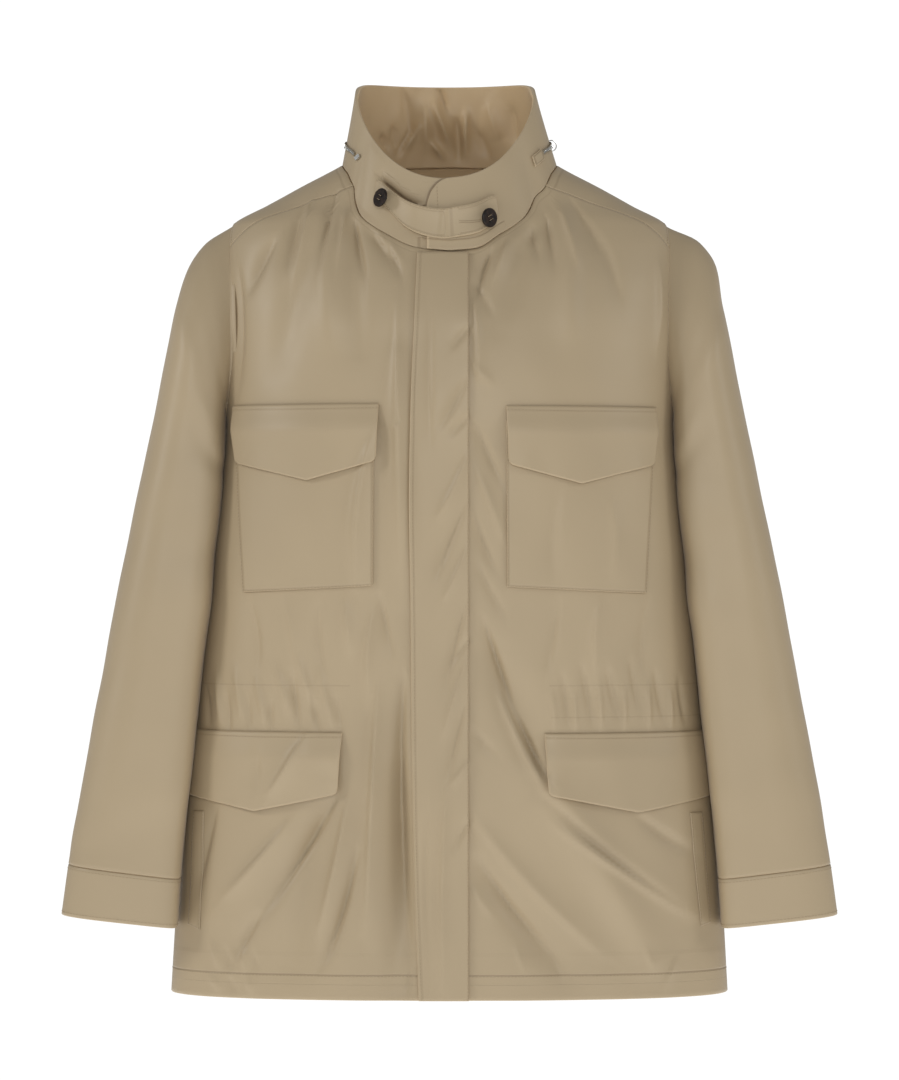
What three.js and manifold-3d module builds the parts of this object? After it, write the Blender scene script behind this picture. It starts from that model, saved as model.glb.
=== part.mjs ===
// A hip-length field jacket of smooth technical cloth, filled out as if worn by nobody.
// Millimetres, +Z up, the front faces -Y. The origin lies between the shoulders at the base of the
// neck, where a wearer's shoulders carry the garment. "Right" and "left" are the wearer's.
import * as THREE from "three";
import { mergeVertices } from "three/addons/utils/BufferGeometryUtils.js";
import Module from "manifold-3d";

const CLOTH = 1.6; // thickness of a panel
const COLLAR_CLOTH = 2; // two plies and the stowed hood's edge
const SEAM = 0.4; // gap between pieces that are sewn edge to edge
const LIFT = 1.1; // gap between a panel and what is sewn on it
const HEM_Z = -774;
const PIT_Z = -240; // underarm
const SHOULDER_Z = -49; // top of the armhole
const ARMHOLE_TURN = 24; // degrees each side of the side seam
const YOKE_FRONT = 40.2; // degrees round the armhole, from its top to the front yoke seam
const YOKE_BACK = 58.8; // and to the back yoke seam
const YOKE_NECK = 36.3; // degrees round the body where the front yoke seam meets the neck
const SQUARE = 2.4; // exponent of the body's oval sections
const FRONT_EDGE = 0.09; // degrees from the centre front to each front's edge
const SIDE_GAP = 0.11; // degrees from the side seam to a panel's edge

const RAD = Math.PI / 180;
const V = (x, y, z) => new THREE.Vector3(x, y, z);
const clamp01 = (t) => Math.min(1, Math.max(0, t));
const smooth = (from, to, t) => THREE.MathUtils.smoothstep(t, from, to);
const mix = THREE.MathUtils.lerp;

// The body's level sections from the neck to the hem: half width, and depth before and behind
// the side seams.
const BODY = [
  { z: HEM_Z, half: 264, front: 100, back: 102 },
  { z: -705, half: 260, front: 102, back: 103 },
  { z: -594, half: 252, front: 108, back: 105 },
  { z: -490, half: 240, front: 115, back: 107 },
  { z: -405, half: 230, front: 122, back: 112 },
  { z: -310, half: 220, front: 128, back: 119 },
  { z: PIT_Z, half: 214, front: 128, back: 124 },
  { z: -150, half: 216, front: 116, back: 123 },
  { z: -110, half: 216, front: 104, back: 120 },
  { z: -72, half: 213, front: 86, back: 114 },
  { z: SHOULDER_Z, half: 206, front: 72, back: 109 },
  { z: -30, half: 173, front: 61, back: 103 },
  { z: -14, half: 144, front: 56, back: 98 },
  { z: 9, half: 101, front: 46, back: 88 },
  { z: 20, half: 84, front: 42, back: 83 },
];

// Height of the neck seam, by degrees round the body from the centre front. At the wearer's left,
// where the lap pulls it up, each height comes NECK_PULL degrees sooner.
const NECK_PULL = 3.4;
const NECK = [
  { turn: 0, z: -78.5 },
  { turn: 8, z: -75 },
  { turn: 17, z: -59.5 },
  { turn: 27.4, z: -34.5 },
  { turn: YOKE_NECK, z: -14.5 },
  { turn: 52, z: 0 },
  { turn: 70, z: 6.5 },
  { turn: 90, z: 9 },
  { turn: 130, z: 12 },
  { turn: 180, z: 15 },
];

// Large soft folds, as seen from the front (side -1) or from behind (side 1): a ridge, or a
// trough where it is negative, from one end to the other.
const FOLDS = [
  { side: -1, x1: -118, z1: -45, x2: -112, z2: -160, wide: 11, rise: 3.2 },
  { side: -1, x1: -92, z1: -40, x2: -84, z2: -170, wide: 10, rise: -3 },
  { side: -1, x1: -130, z1: -60, x2: -160, z2: -190, wide: 14, rise: -3 },
  { side: -1, x1: 108, z1: -30, x2: 112, z2: -150, wide: 12, rise: 3 },
  { side: -1, x1: 76, z1: -50, x2: 46, z2: -150, wide: 12, rise: -3 },
  { side: -1, x1: -48, z1: -180, x2: -42, z2: -400, wide: 11, rise: 3 },
  { side: -1, x1: -44, z1: -560, x2: -50, z2: -760, wide: 13, rise: -5 },
  { side: -1, x1: -110, z1: -570, x2: -145, z2: -740, wide: 16, rise: -5 },
  { side: -1, x1: 44, z1: -455, x2: 84, z2: -560, wide: 15, rise: -5 },
  { side: -1, x1: 84, z1: -560, x2: 190, z2: -735, wide: 18, rise: 6 },
  { side: -1, x1: 32, z1: -650, x2: 104, z2: -745, wide: 15, rise: -4 },
  { side: 1, x1: -120, z1: -120, x2: -100, z2: -300, wide: 18, rise: -4 },
  { side: 1, x1: 116, z1: -130, x2: 92, z2: -310, wide: 16, rise: -4 },
  { side: 1, x1: -60, z1: -540, x2: -84, z2: -740, wide: 18, rise: 5 },
  { side: 1, x1: 70, z1: -550, x2: 96, z2: -745, wide: 18, rise: -5 },
  { side: 1, x1: 10, z1: -560, x2: -4, z2: -730, wide: 16, rise: 4 },
];

// The drawn-in waist: gathers from one seen x to another.
const GATHER_TOP = -468;
const GATHER_FOOT = -524;
const GATHERS = [
  { side: -1, from: -228, to: -98, count: 10, deep: 1.5 },
  { side: -1, from: 88, to: 226, count: 10, deep: 1.5 },
  { side: 1, from: -180, to: 180, count: 16, deep: 1.8 },
];

// Smooth curve through a table's rows, without overshoot (monotone cubic).
function curve(rows, at, key) {
  const x = rows.map((r) => r[at]);
  const y = rows.map((r) => r[key]);
  const slope = x.slice(1).map((value, i) => (y[i + 1] - y[i]) / (value - x[i]));
  const tangent = x.map((_, i) => {
    if (i === 0) return slope[0];
    if (i === slope.length) return slope[i - 1];
    return slope[i - 1] * slope[i] <= 0 ? 0 : (2 * slope[i - 1] * slope[i]) / (slope[i - 1] + slope[i]);
  });
  return (value) => {
    const t = Math.min(x[x.length - 1], Math.max(x[0], value));
    let i = 0;
    while (i < x.length - 2 && t > x[i + 1]) i += 1;
    const h = x[i + 1] - x[i];
    const s = (t - x[i]) / h;
    const a = y[i] * (1 + 2 * s) * (1 - s) ** 2 + y[i + 1] * s * s * (3 - 2 * s);
    return a + h * (tangent[i] * s * (1 - s) ** 2 - tangent[i + 1] * s * s * (1 - s));
  };
}

const bodyHalf = curve(BODY, "z", "half");
const bodyFront = curve(BODY, "z", "front");
const bodyBack = curve(BODY, "z", "back");
const neckHeight = curve(NECK, "turn", "z");
function neckZ(turn) {
  const pull = turn > 0 ? smooth(4, 13, turn) * (1 - smooth(26, YOKE_NECK, turn)) : 0;
  return neckHeight(Math.abs(turn) + NECK_PULL * pull);
}

// Radius factor of an oval whose corners are a little square.
const oval = (sine, cosine, power = SQUARE) =>
  (Math.abs(sine) ** power + Math.abs(cosine) ** power) ** (-1 / power);

// Plain body surface: turn is in degrees from the centre front towards +X.
function plainBody(turn, z) {
  const s = Math.sin(turn * RAD);
  const c = Math.cos(turn * RAD);
  const r = oval(s, c);
  const depth = c >= 0 ? bodyFront(z) : bodyBack(z);
  return V(bodyHalf(z) * s * r, -depth * c * r, z);
}

function plainNormal(turn, z) {
  const across = plainBody(turn + 0.3, z).sub(plainBody(turn - 0.3, z));
  const up = plainBody(turn, z + 0.6).sub(plainBody(turn, z - 0.6));
  return across.cross(up).normalize();
}

// Folds and gathers as a move along the surface's normal, at a place seen from front or back.
function relief(x, y, z) {
  const side = y < 0 ? -1 : 1;
  const edge = smooth(0, 18, Math.abs(y));
  let rise = 0;
  for (const f of FOLDS) {
    if (f.side !== side) continue;
    const dx = f.x2 - f.x1;
    const dz = f.z2 - f.z1;
    const long = dx * dx + dz * dz;
    const along = clamp01(((x - f.x1) * dx + (z - f.z1) * dz) / long);
    const away = Math.hypot(x - f.x1 - along * dx, z - f.z1 - along * dz);
    const taper = Math.sin(Math.PI * (0.12 + 0.76 * along));
    rise += f.rise * taper * Math.exp(-((away / f.wide) ** 2)) * edge;
  }
  const band = smooth(GATHER_FOOT, -506, z) * (1 - smooth(-490, GATHER_TOP, z));
  for (const g of GATHERS) {
    if (g.side !== side || band === 0) continue;
    const t = (x - g.from) / (g.to - g.from);
    if (t <= 0 || t >= 1) continue;
    rise += g.deep * band * smooth(0, 0.1, t) * (1 - smooth(0.9, 1, t)) * edge
      * Math.sin(2 * Math.PI * g.count * t);
  }
  return rise;
}

function body(turn, z, lift = 0) {
  const p = plainBody(turn, z);
  return p.addScaledVector(plainNormal(turn, z), relief(p.x, p.y, z) + lift);
}

// Outward normal of any surface point(u, v), from its own neighbours.
function normalOf(point, u, v, du, dv) {
  const across = point(u + du, v).sub(point(u - du, v));
  const up = point(u, v + dv).sub(point(u, v - dv));
  return across.cross(up).normalize();
}

// Turns that shows a given x on the front of the body at height z.
function turnAt(x, z) {
  const q = Math.min(0.9995, Math.abs(x) / bodyHalf(z)) ** SQUARE;
  return (Math.sign(x) * Math.atan((q / (1 - q)) ** (1 / SQUARE))) / RAD;
}

// A cloth wall. Each row is a list of [point, outward normal, column]; neighbouring rows may hold
// different numbers of points, and a ring's last point meets its first.
function wall(rows, thick, { ring = false, flip = false } = {}) {
  const outer = [];
  const start = [];
  const inner = [];
  for (const row of rows) {
    start.push(outer.length);
    for (const [p, n] of row) {
      outer.push(p);
      inner.push(p.clone().addScaledVector(n, -thick));
    }
  }
  const count = outer.length;
  const faces = [];
  const face = (a, b, c) => faces.push(flip ? [a, c, b] : [a, b, c]);
  const index = (r, i) => start[r] + (ring ? i % rows[r].length : i);
  const both = (a, b, c) => {
    face(a, b, c);
    face(a + count, c + count, b + count);
  };
  const rim = (a, b) => {
    face(a, a + count, b);
    face(b, a + count, b + count);
  };
  for (let r = 0; r + 1 < rows.length; r += 1) {
    const low = rows[r].length - (ring ? 0 : 1);
    const high = rows[r + 1].length - (ring ? 0 : 1);
    const place = (row, i) => (i < row.length ? row[i][2] : row[0][2] + 1);
    let i = 0;
    let j = 0;
    while (i < low || j < high) {
      const stepLow = j === high || (i < low && place(rows[r], i + 1) <= place(rows[r + 1], j + 1));
      if (stepLow) {
        both(index(r, i), index(r, i + 1), index(r + 1, j));
        i += 1;
      } else {
        both(index(r, i), index(r + 1, j + 1), index(r + 1, j));
        j += 1;
      }
    }
    if (!ring) {
      rim(index(r + 1, 0), index(r, 0));
      rim(index(r, low), index(r + 1, high));
    }
  }
  const last = rows.length - 1;
  for (let i = 0; i < rows[0].length - (ring ? 0 : 1); i += 1) rim(index(0, i), index(0, i + 1));
  for (let i = 0; i < rows[last].length - (ring ? 0 : 1); i += 1)
    rim(index(last, i + 1), index(last, i));
  const geometry = new THREE.BufferGeometry().setFromPoints([...outer, ...inner]);
  geometry.setIndex(faces.flat());
  return geometry;
}

// A piece of cloth over the unit square, every point given with its normal.
function patch(point, normal, across, up, thick, flip = false) {
  const rows = [];
  for (let j = 0; j <= up; j += 1) {
    const row = [];
    for (let i = 0; i <= across; i += 1)
      row.push([point(i / across, j / up), normal(i / across, j / up), i / across]);
    rows.push(row);
  }
  return wall(rows, thick, { flip });
}

const group = new THREE.Group();
const CLOTH_LOOK = { color: 0xab997d, roughness: 0.62, metalness: 0 };
const HORN_LOOK = { color: 0x3a2a20, roughness: 0.35, metalness: 0 };
const METAL_LOOK = { color: 0xb9b9b6, roughness: 0.3, metalness: 1 };
const TAPE_LOOK = { color: 0x8f8470, roughness: 0.8, metalness: 0 };

function add(name, geometry, look) {
  const mesh = new THREE.Mesh(geometry, new THREE.MeshStandardMaterial(look));
  mesh.name = name;
  group.add(mesh);
  return mesh;
}

// The armhole is an oval in turn and height, round the side seam. Its angle runs from the top
// towards the front; inside moves a point that far into the hole.
const ARM_ROUND = 0.75; // under 1 makes the top and the foot of the armhole rounder
const ARM_MID = (PIT_Z + SHOULDER_Z) / 2;
const ARM_HIGH = (SHOULDER_Z - PIT_Z) / 2;
function armhole(angle, inside = 0) {
  const high = ARM_HIGH - inside;
  const wide = ARMHOLE_TURN - inside / (115 * RAD);
  const s = Math.sin(angle * RAD);
  const turn = 90 - wide * Math.sign(s) * Math.abs(s) ** ARM_ROUND;
  return { turn, z: ARM_MID + high * Math.cos(angle * RAD) };
}

const ARM_FRONT = [180, 160, 140, 120, 100, 80, 60, YOKE_FRONT];
const ARM_YOKE = [YOKE_FRONT, 27, 13, 0, -15, -30, -45, -YOKE_BACK];
const ARM_BACK = [-YOKE_BACK, -78, -98, -118, -138, -159, -180];
const SEAM_TURNS = [YOKE_NECK, 42, 48, 54.5, 61.5, 68];
const NECK_TURNS = [0, 3, 6.5, 10, 14, 18, 22.5, 27, 31.5];
const YOKE_NECK_TURNS = [YOKE_NECK, 47, 60, 74, 90, 112, 135, 157];
const WAIST_ROWS = [GATHER_FOOT, -508, -498, -488, GATHER_TOP];
const LOW_ROWS = [HEM_Z, -745, -715, -685, -655, -625, -595, -565, -540];
const MID_ROWS = [-440, -410, -380, -350, -320, -290, -262];
const seamTurnEnd = armhole(YOKE_FRONT).turn;
const yokeSeamZ = (turn) =>
  mix(neckZ(YOKE_NECK), armhole(YOKE_FRONT).z, (turn - YOKE_NECK) / (seamTurnEnd - YOKE_NECK));

// Turns at which a panel's rows are cut, between two seams; a gathered row has more of them.
function gatheredTurns(base, z, side, facing) {
  const gather = GATHERS.find((g) => g.side === facing && (facing > 0 || Math.sign(g.from) === side));
  const fine = [];
  const steps = gather.count * 4;
  for (let i = 0; i <= steps; i += 1) {
    const x = mix(gather.from, gather.to, i / steps);
    fine.push(facing < 0 ? Math.abs(turnAt(x, z)) : 180 + turnAt(x, z));
  }
  const low = Math.min(...fine);
  const high = Math.max(...fine);
  const kept = base.filter((t) => t < low - 1 || t > high + 1);
  return [...kept, ...fine].sort((a, b) => a - b);
}

// A front runs from the centre to the side seam and armhole, up to the neck and the yoke seam.
function frontPanel(side) {
  const top = [...NECK_TURNS, ...SEAM_TURNS, seamTurnEnd];
  const rise = (turn) =>
    (turn <= YOKE_NECK ? neckZ(side * turn) : yokeSeamZ(turn)) - armhole(YOKE_FRONT).z;
  const rows = [];
  const levels = [...LOW_ROWS, ...WAIST_ROWS, ...MID_ROWS].map((z) => ({ z, out: 90 - SIDE_GAP }));
  for (const angle of ARM_FRONT) {
    const { turn, z } = armhole(angle);
    levels.push({ z, out: Math.min(turn, 90 - SIDE_GAP) });
  }
  for (const { z, out } of levels) {
    const share = smooth(-190, armhole(YOKE_FRONT).z, z);
    let turns = top.map((turn) => mix(FRONT_EDGE, out, turn / seamTurnEnd));
    if (z < -480 && z > -512) turns = gatheredTurns(turns, z, side, -1);
    rows.push(turns.map((turn) => {
      const own = (turn - FRONT_EDGE) * (seamTurnEnd / (out - FRONT_EDGE));
      const height = z + share * rise(own);
      return [body(side * turn, height), plainNormal(side * turn, height), turn / 90];
    }));
  }
  return wall(rows, CLOTH, { flip: side < 0 });
}

// The back runs from side seam to side seam, up to the armholes and the back yoke seam.
function backPanel() {
  const levels = [...LOW_ROWS, ...WAIST_ROWS, ...MID_ROWS].map((z) => ({ z, out: 90 + SIDE_GAP }));
  for (const angle of [...ARM_BACK].reverse()) {
    const { turn, z } = armhole(angle);
    levels.push({ z, out: Math.max(turn, 90 + SIDE_GAP) });
  }
  const shares = [0, 0.07, 0.14, 0.21, 0.28, 0.35, 0.42, 0.48];
  const across = [...shares, ...shares.map((s) => 1 - s).reverse()];
  const rows = levels.map(({ z, out }) => {
    let turns = across.map((s) => mix(out, 360 - out, s));
    if (z < -480 && z > -512) turns = gatheredTurns(turns, z, 1, 1);
    return turns.map((turn) => [body(turn, z), plainNormal(turn, z), turn / 360]);
  });
  return wall(rows, CLOTH);
}

// The yoke is one horseshoe over both shoulders, from its front seams round the back of the neck.
const YOKE_BACK_TURNS = [131, 147, 163];
const YOKE_STEPS = SEAM_TURNS.length;
function yokeColumns() {
  const backSeam = armhole(-YOKE_BACK);
  const outer = ARM_YOKE.map((angle) => armhole(angle));
  const half = outer.map((o, i) => ({ inner: YOKE_NECK_TURNS[i], outer: o }));
  YOKE_BACK_TURNS.forEach((turn, i) =>
    half.push({ inner: 157 + (i + 1) * 5.75, outer: { turn, z: backSeam.z } }));
  half[half.length - 1].inner = 174;
  half.push({ inner: 180, outer: { turn: 180, z: backSeam.z } });
  return half;
}
const YOKE_HALF = yokeColumns();

function yoke() {
  const mirrored = YOKE_HALF.slice(0, -1).reverse();
  const columns = [
    ...YOKE_HALF.map((c) => ({ ...c, side: 1 })),
    ...mirrored.map((c) => ({ inner: c.inner, outer: c.outer, side: -1 })),
  ];
  const rows = [];
  for (let j = 0; j <= YOKE_STEPS; j += 1) {
    rows.push(columns.map(({ inner, outer, side }, i) => {
      const front = i === 0 || i === columns.length - 1;
      const share = front
        ? ([...SEAM_TURNS, seamTurnEnd][j] - YOKE_NECK) / (seamTurnEnd - YOKE_NECK)
        : j / YOKE_STEPS;
      const turn = mix(inner, outer.turn, share);
      const z = mix(neckZ(inner), outer.z, share) + (front ? SEAM : 0);
      const level = outer.z === armhole(-YOKE_BACK).z ? SEAM * share : 0;
      const own = side > 0 ? turn : 360 - turn;
      return [body(own, z + level), plainNormal(own, z + level), i];
    }));
  }
  return wall(rows, CLOTH, { flip: true });
}

add("front_right", frontPanel(-1), CLOTH_LOOK);
add("front_left", frontPanel(1), CLOTH_LOOK);
add("back", backPanel(), CLOTH_LOOK);
add("yoke", yoke(), CLOTH_LOOK);

// Sleeve stations from the armhole to the wrist: the outer and inner ends of each section, its
// depth before and behind, and how far forward its middle lies.
const SLEEVE = [
  { t: 0, outX: 206, outZ: -49, inX: 214, inZ: -240, deep: 50, mid: 0 },
  { t: 0.04, outX: 232, outZ: -66, inX: 215, inZ: -243, deep: 58, mid: 0 },
  { t: 0.09, outX: 248, outZ: -90, inX: 216, inZ: -248, deep: 62, mid: -1 },
  { t: 0.15, outX: 258, outZ: -122, inX: 215, inZ: -255, deep: 64, mid: -2 },
  { t: 0.22, outX: 266, outZ: -160, inX: 214, inZ: -266, deep: 65, mid: -4 },
  { t: 0.3, outX: 275, outZ: -208, inX: 213, inZ: -283, deep: 64, mid: -7 },
  { t: 0.4, outX: 287.5, outZ: -270, inX: 214, inZ: -310, deep: 62, mid: -12 },
  { t: 0.52, outX: 304, outZ: -350, inX: 219, inZ: -370, deep: 59, mid: -19 },
  { t: 0.64, outX: 319.5, outZ: -430, inX: 225, inZ: -442, deep: 55, mid: -26 },
  { t: 0.76, outX: 334, outZ: -510, inX: 232, inZ: -519, deep: 50, mid: -33 },
  { t: 0.88, outX: 348, outZ: -590, inX: 241, inZ: -598, deep: 44, mid: -39 },
  { t: 1, outX: 358, outZ: -651, inX: 248, inZ: -664, deep: 38, mid: -42 },
  { t: 1.085, outX: 364.5, outZ: -698, inX: 252, inZ: -710, deep: 34, mid: -43 },
];
const LEFT_HEAD = 7; // the left sleeve's head stands a little squarer
const CUFF_START = 1;
const CUFF_END = 1.085;
const SLEEVE_CLEAR = 1.6; // from the side of the body
const FLAP_CLEAR = 4.6; // and beside the hip pockets
const sleeveAt = Object.fromEntries(
  ["outX", "outZ", "inX", "inZ", "deep", "mid"].map((key) => [key, curve(SLEEVE, "t", key)]),
);

// Soft elbow folds across each sleeve: station, angle round the sleeve, length, width, rise.
const SLEEVE_FOLDS = [
  { t: 0.16, angle: 60, turn: 34, wide: 0.035, rise: 2 },
  { t: 0.3, angle: 140, turn: 40, wide: 0.04, rise: -3 },
  { t: 0.5, angle: 115, turn: 44, wide: 0.045, rise: -3 },
  { t: 0.58, angle: 150, turn: 40, wide: 0.04, rise: 3 },
  { t: 0.7, angle: 60, turn: 46, wide: 0.05, rise: -2.5 },
  { t: 0.86, angle: 120, turn: 40, wide: 0.04, rise: 2.5 },
  { t: 0.62, angle: -100, turn: 46, wide: 0.045, rise: -3 },
  { t: 0.4, angle: -70, turn: 46, wide: 0.045, rise: 3 },
];

// Angles round a sleeve follow the armhole's own points: 0 at the shoulder, positive to the front.
const SLEEVE_ANGLES = [...ARM_FRONT, ...ARM_YOKE.slice(1), ...ARM_BACK.slice(1, -1)];

function bodySide(y, z) {
  const depth = y < 0 ? bodyFront(z) : bodyBack(z);
  const q = Math.min(1, Math.abs(y) / depth) ** SQUARE;
  return bodyHalf(z) * (1 - q) ** (1 / SQUARE);
}

function sleevePoint(side, angle, t) {
  const s = Math.sin(angle * RAD);
  const c = Math.cos(angle * RAD);
  const at = Object.fromEntries(Object.entries(sleeveAt).map(([key, f]) => [key, f(t)]));
  const r = oval(s, c, 2.15);
  const half = V((at.outX - at.inX) / 2, 0, (at.outZ - at.inZ) / 2);
  const p = V((at.outX + at.inX) / 2, at.mid - at.deep * s * r, (at.outZ + at.inZ) / 2);
  p.addScaledVector(half, c * r);
  const start = armhole(angle, SEAM);
  const seam = body(start.turn, start.z);
  const first = V(210 - 4 * c, -50 * s * oval(s, c, 2.15), ARM_MID + (ARM_HIGH * c) * oval(s, c, 2.15));
  p.addScaledVector(seam.sub(first), (1 - smooth(0, 0.2, t)) * (t < 0.2 ? 1 : 0));
  const out = V(half.x * c, -at.deep * s, half.z * c).normalize();
  for (const f of SLEEVE_FOLDS) {
    let apart = Math.abs(angle - f.angle);
    apart = Math.min(apart, 360 - apart);
    const rise = f.rise * Math.exp(-((apart / f.turn) ** 2) - ((t - f.t) / f.wide) ** 2);
    p.addScaledVector(out, rise * (side < 0 ? 1 : 0.8) * smooth(0, 0.12, t));
  }
  if (t > 0.002) {
    const clear = mix(FLAP_CLEAR, SLEEVE_CLEAR * smooth(0, 0.1, t), smooth(-530, -480, p.z));
    p.x = Math.max(p.x, bodySide(p.y, p.z) + clear);
  }
  if (side > 0) p.x += LEFT_HEAD * Math.max(0, c) * smooth(0, 0.03, t) * (1 - smooth(0.06, 0.16, t));
  p.x *= side;
  return p;
}

function sleeveTube(side, stations, thick) {
  const rows = stations.map((t) =>
    SLEEVE_ANGLES.map((angle, i) => {
      const point = (a, s) => sleevePoint(side, a, s);
      const n = normalOf(point, angle, Math.max(t, 0.006), 0.8, 0.004).multiplyScalar(side);
      return [sleevePoint(side, angle, t), n, i / SLEEVE_ANGLES.length];
    }));
  return wall(rows, thick, { ring: true, flip: side > 0 });
}

const CUFF_GAP = 0.0007; // in stations: about 0.4 mm
const SLEEVE_STATIONS = [0, 0.02, 0.045, 0.075, 0.11, 0.15, 0.19, 0.24, 0.29, 0.34, 0.4, 0.46,
  0.52, 0.58, 0.64, 0.7, 0.76, 0.82, 0.88, 0.94, CUFF_START - CUFF_GAP];
const CUFF_STATIONS = [CUFF_START, 1.028, 1.056, CUFF_END];
for (const [name, side] of [["right", -1], ["left", 1]]) {
  add(`sleeve_${name}`, sleeveTube(side, SLEEVE_STATIONS, CLOTH), CLOTH_LOOK);
  add(`cuff_${name}`, sleeveTube(side, CUFF_STATIONS, 2.2), CLOTH_LOOK);
}

// The funnel collar is one strip. It starts under its own lap at the wearer's left of the centre,
// goes round the back of the neck, and ends in a lap with a rounded corner over its own start.
// Its run is in degrees: the turn round the body, counted backwards.
const COLLAR = { half: 85.5, front: 72, back: 75, shift: -4, side: 78, frontDrop: 87, backRise: 13 };
const FRONT_DIP = 1.4; // how narrow the dip of the collar's top edge is at the front
const LAP = 3; // how far the lap lies outside the start
const NECK_COLUMNS = [...NECK_TURNS, ...YOKE_HALF.map((c) => c.inner)];
const COLLAR_RUN = [-6.5, -3, ...NECK_COLUMNS, ...NECK_COLUMNS.slice(0, -1).reverse().map((t) => 360 - t),
  362, 363.6, 364.7, 365.3, 365.5];
const lapOf = (run) => LAP * smooth(338, 350, run);
const lapCorner = (run) => 0.5 + 0.5 * Math.sqrt(1 - clamp01((run - 358.5) / 7) ** 2);
const turnOf = (run) => (run > 180 ? 360 - run : -run);

function collarPoint(run, up, lift = 0) {
  const turn = turnOf(run);
  const foot = plainBody(turn, neckZ(turn) + SEAM);
  const around = Math.atan2(foot.x / 101, -foot.y / 87);
  const s = Math.sin(around);
  const c = Math.cos(around) * oval(s, Math.cos(around), 2.2);
  const depth = c > 0 ? COLLAR.front : COLLAR.back;
  const height = c > 0
    ? COLLAR.side - COLLAR.frontDrop * c ** FRONT_DIP
    : COLLAR.side + COLLAR.backRise * (1 - (1 + c) ** 3);
  const top = V(COLLAR.shift + COLLAR.half * s * oval(s, Math.cos(around), 2.2), -depth * c, height);
  const p = foot.lerp(top, up);
  const out = V(foot.x / 101, foot.y / 87, 0.12).normalize();
  return p.addScaledVector(out, lapOf(run) + lift);
}
const collarNormal = (run, up) => normalOf(collarPoint, run, up, 0.5, 0.02).negate();

function collarWall() {
  const rows = [0, 0.25, 0.5, 0.75, 1].map((up) =>
    COLLAR_RUN.map((run) => {
      const own = up * lapCorner(run);
      const stowed = 1 + 0.9 * smooth(70, 120, run) * (1 - smooth(240, 290, run));
      return [collarPoint(run, own), collarNormal(run, own).multiplyScalar(stowed), run];
    }));
  return wall(rows, COLLAR_CLOTH, { flip: true });
}
add("collar", collarWall(), CLOTH_LOOK);

// The throat tab crosses the lap from one button to the other. Its ends are rounded.
const TAB = { from: -20, to: 12.5, thick: 1.8 };
const TAB_EDGES = [
  { turn: -20, foot: 0.4, top: 0.64 },
  { turn: -16, foot: 0.34, top: 0.62 },
  { turn: -10.5, foot: 0.22, top: 0.58 },
  { turn: -3, foot: 0.15, top: 0.55 },
  { turn: 3, foot: 0.17, top: 0.58 },
  { turn: 12.5, foot: 0.21, top: 0.6 },
];
const tabFoot = curve(TAB_EDGES, "turn", "foot");
const tabTop = curve(TAB_EDGES, "turn", "top");
const TAB_TURNS = [-20, -19.6, -18.6, -16.8, -15, -13, -11, -9, -6.5, -3, 0, 3, 6.5, 9, 11, 12.2, 12.5];
const tabLift = (turn) => 0.9 + (LAP + 0.2) * smooth(-14, -7.5, turn);
const runOf = (turn) => (turn > 0 ? 360 - turn : -turn);
function onCollar(turn, up, lift) {
  const bare = turn > 0 ? lapOf(360 - turn) : 0;
  return collarPoint(runOf(turn), up, lift - bare);
}
function throatTab() {
  const rows = [0, 0.33, 0.67, 1].map((v) =>
    TAB_TURNS.map((turn) => {
      const end = Math.min(turn - TAB.from, TAB.to - turn);
      const round = 1 - 0.3 * (1 - clamp01(end / 2)) ** 2;
      const up = mix(tabFoot(turn), tabTop(turn), 0.5 + (v - 0.5) * round);
      const p = onCollar(turn, up, tabLift(turn) + TAB.thick);
      return [p, collarNormal(runOf(turn), up), turn];
    }));
  return wall(rows, TAB.thick);
}
add("throat_tab", throatTab(), CLOTH_LOOK);

// The placket lies over both fronts, which meet under its middle: its free edge and its seam.
const PLACKET_TOP = -80.5;
const PLACKET = [
  { z: HEM_Z, free: -28.5 },
  { z: -660, free: -33 },
  { z: -590, free: -34.5 },
  { z: -400, free: -36 },
  { z: -310, free: -37 },
  { z: -215, free: -35.5 },
  { z: -145, free: -32.6 },
  { z: PLACKET_TOP, free: -30 },
];
const PLACKET_SEAM_X = 17.8;
const PLACKET_CLOTH = 2; // folded double
const placketFree = curve(PLACKET, "z", "free");
function onFront(x, z, lift) {
  const turn = turnAt(x, z);
  return [body(turn, z, lift), plainNormal(turn, z)];
}
function placket() {
  const levels = [...LOW_ROWS, ...WAIST_ROWS, ...MID_ROWS];
  for (const angle of ARM_FRONT.slice(0, -1)) levels.push(armhole(angle).z);
  levels.push(PLACKET_TOP);
  const rows = levels.map((z) => {
    const edge = placketFree(z);
    return [edge, edge / 2, 0.09, PLACKET_SEAM_X / 2, PLACKET_SEAM_X].map((x, i) =>
      [...onFront(x, z, LIFT + PLACKET_CLOTH), i]);
  });
  return wall(rows, PLACKET_CLOTH);
}
add("placket", placket(), CLOTH_LOOK);

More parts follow.
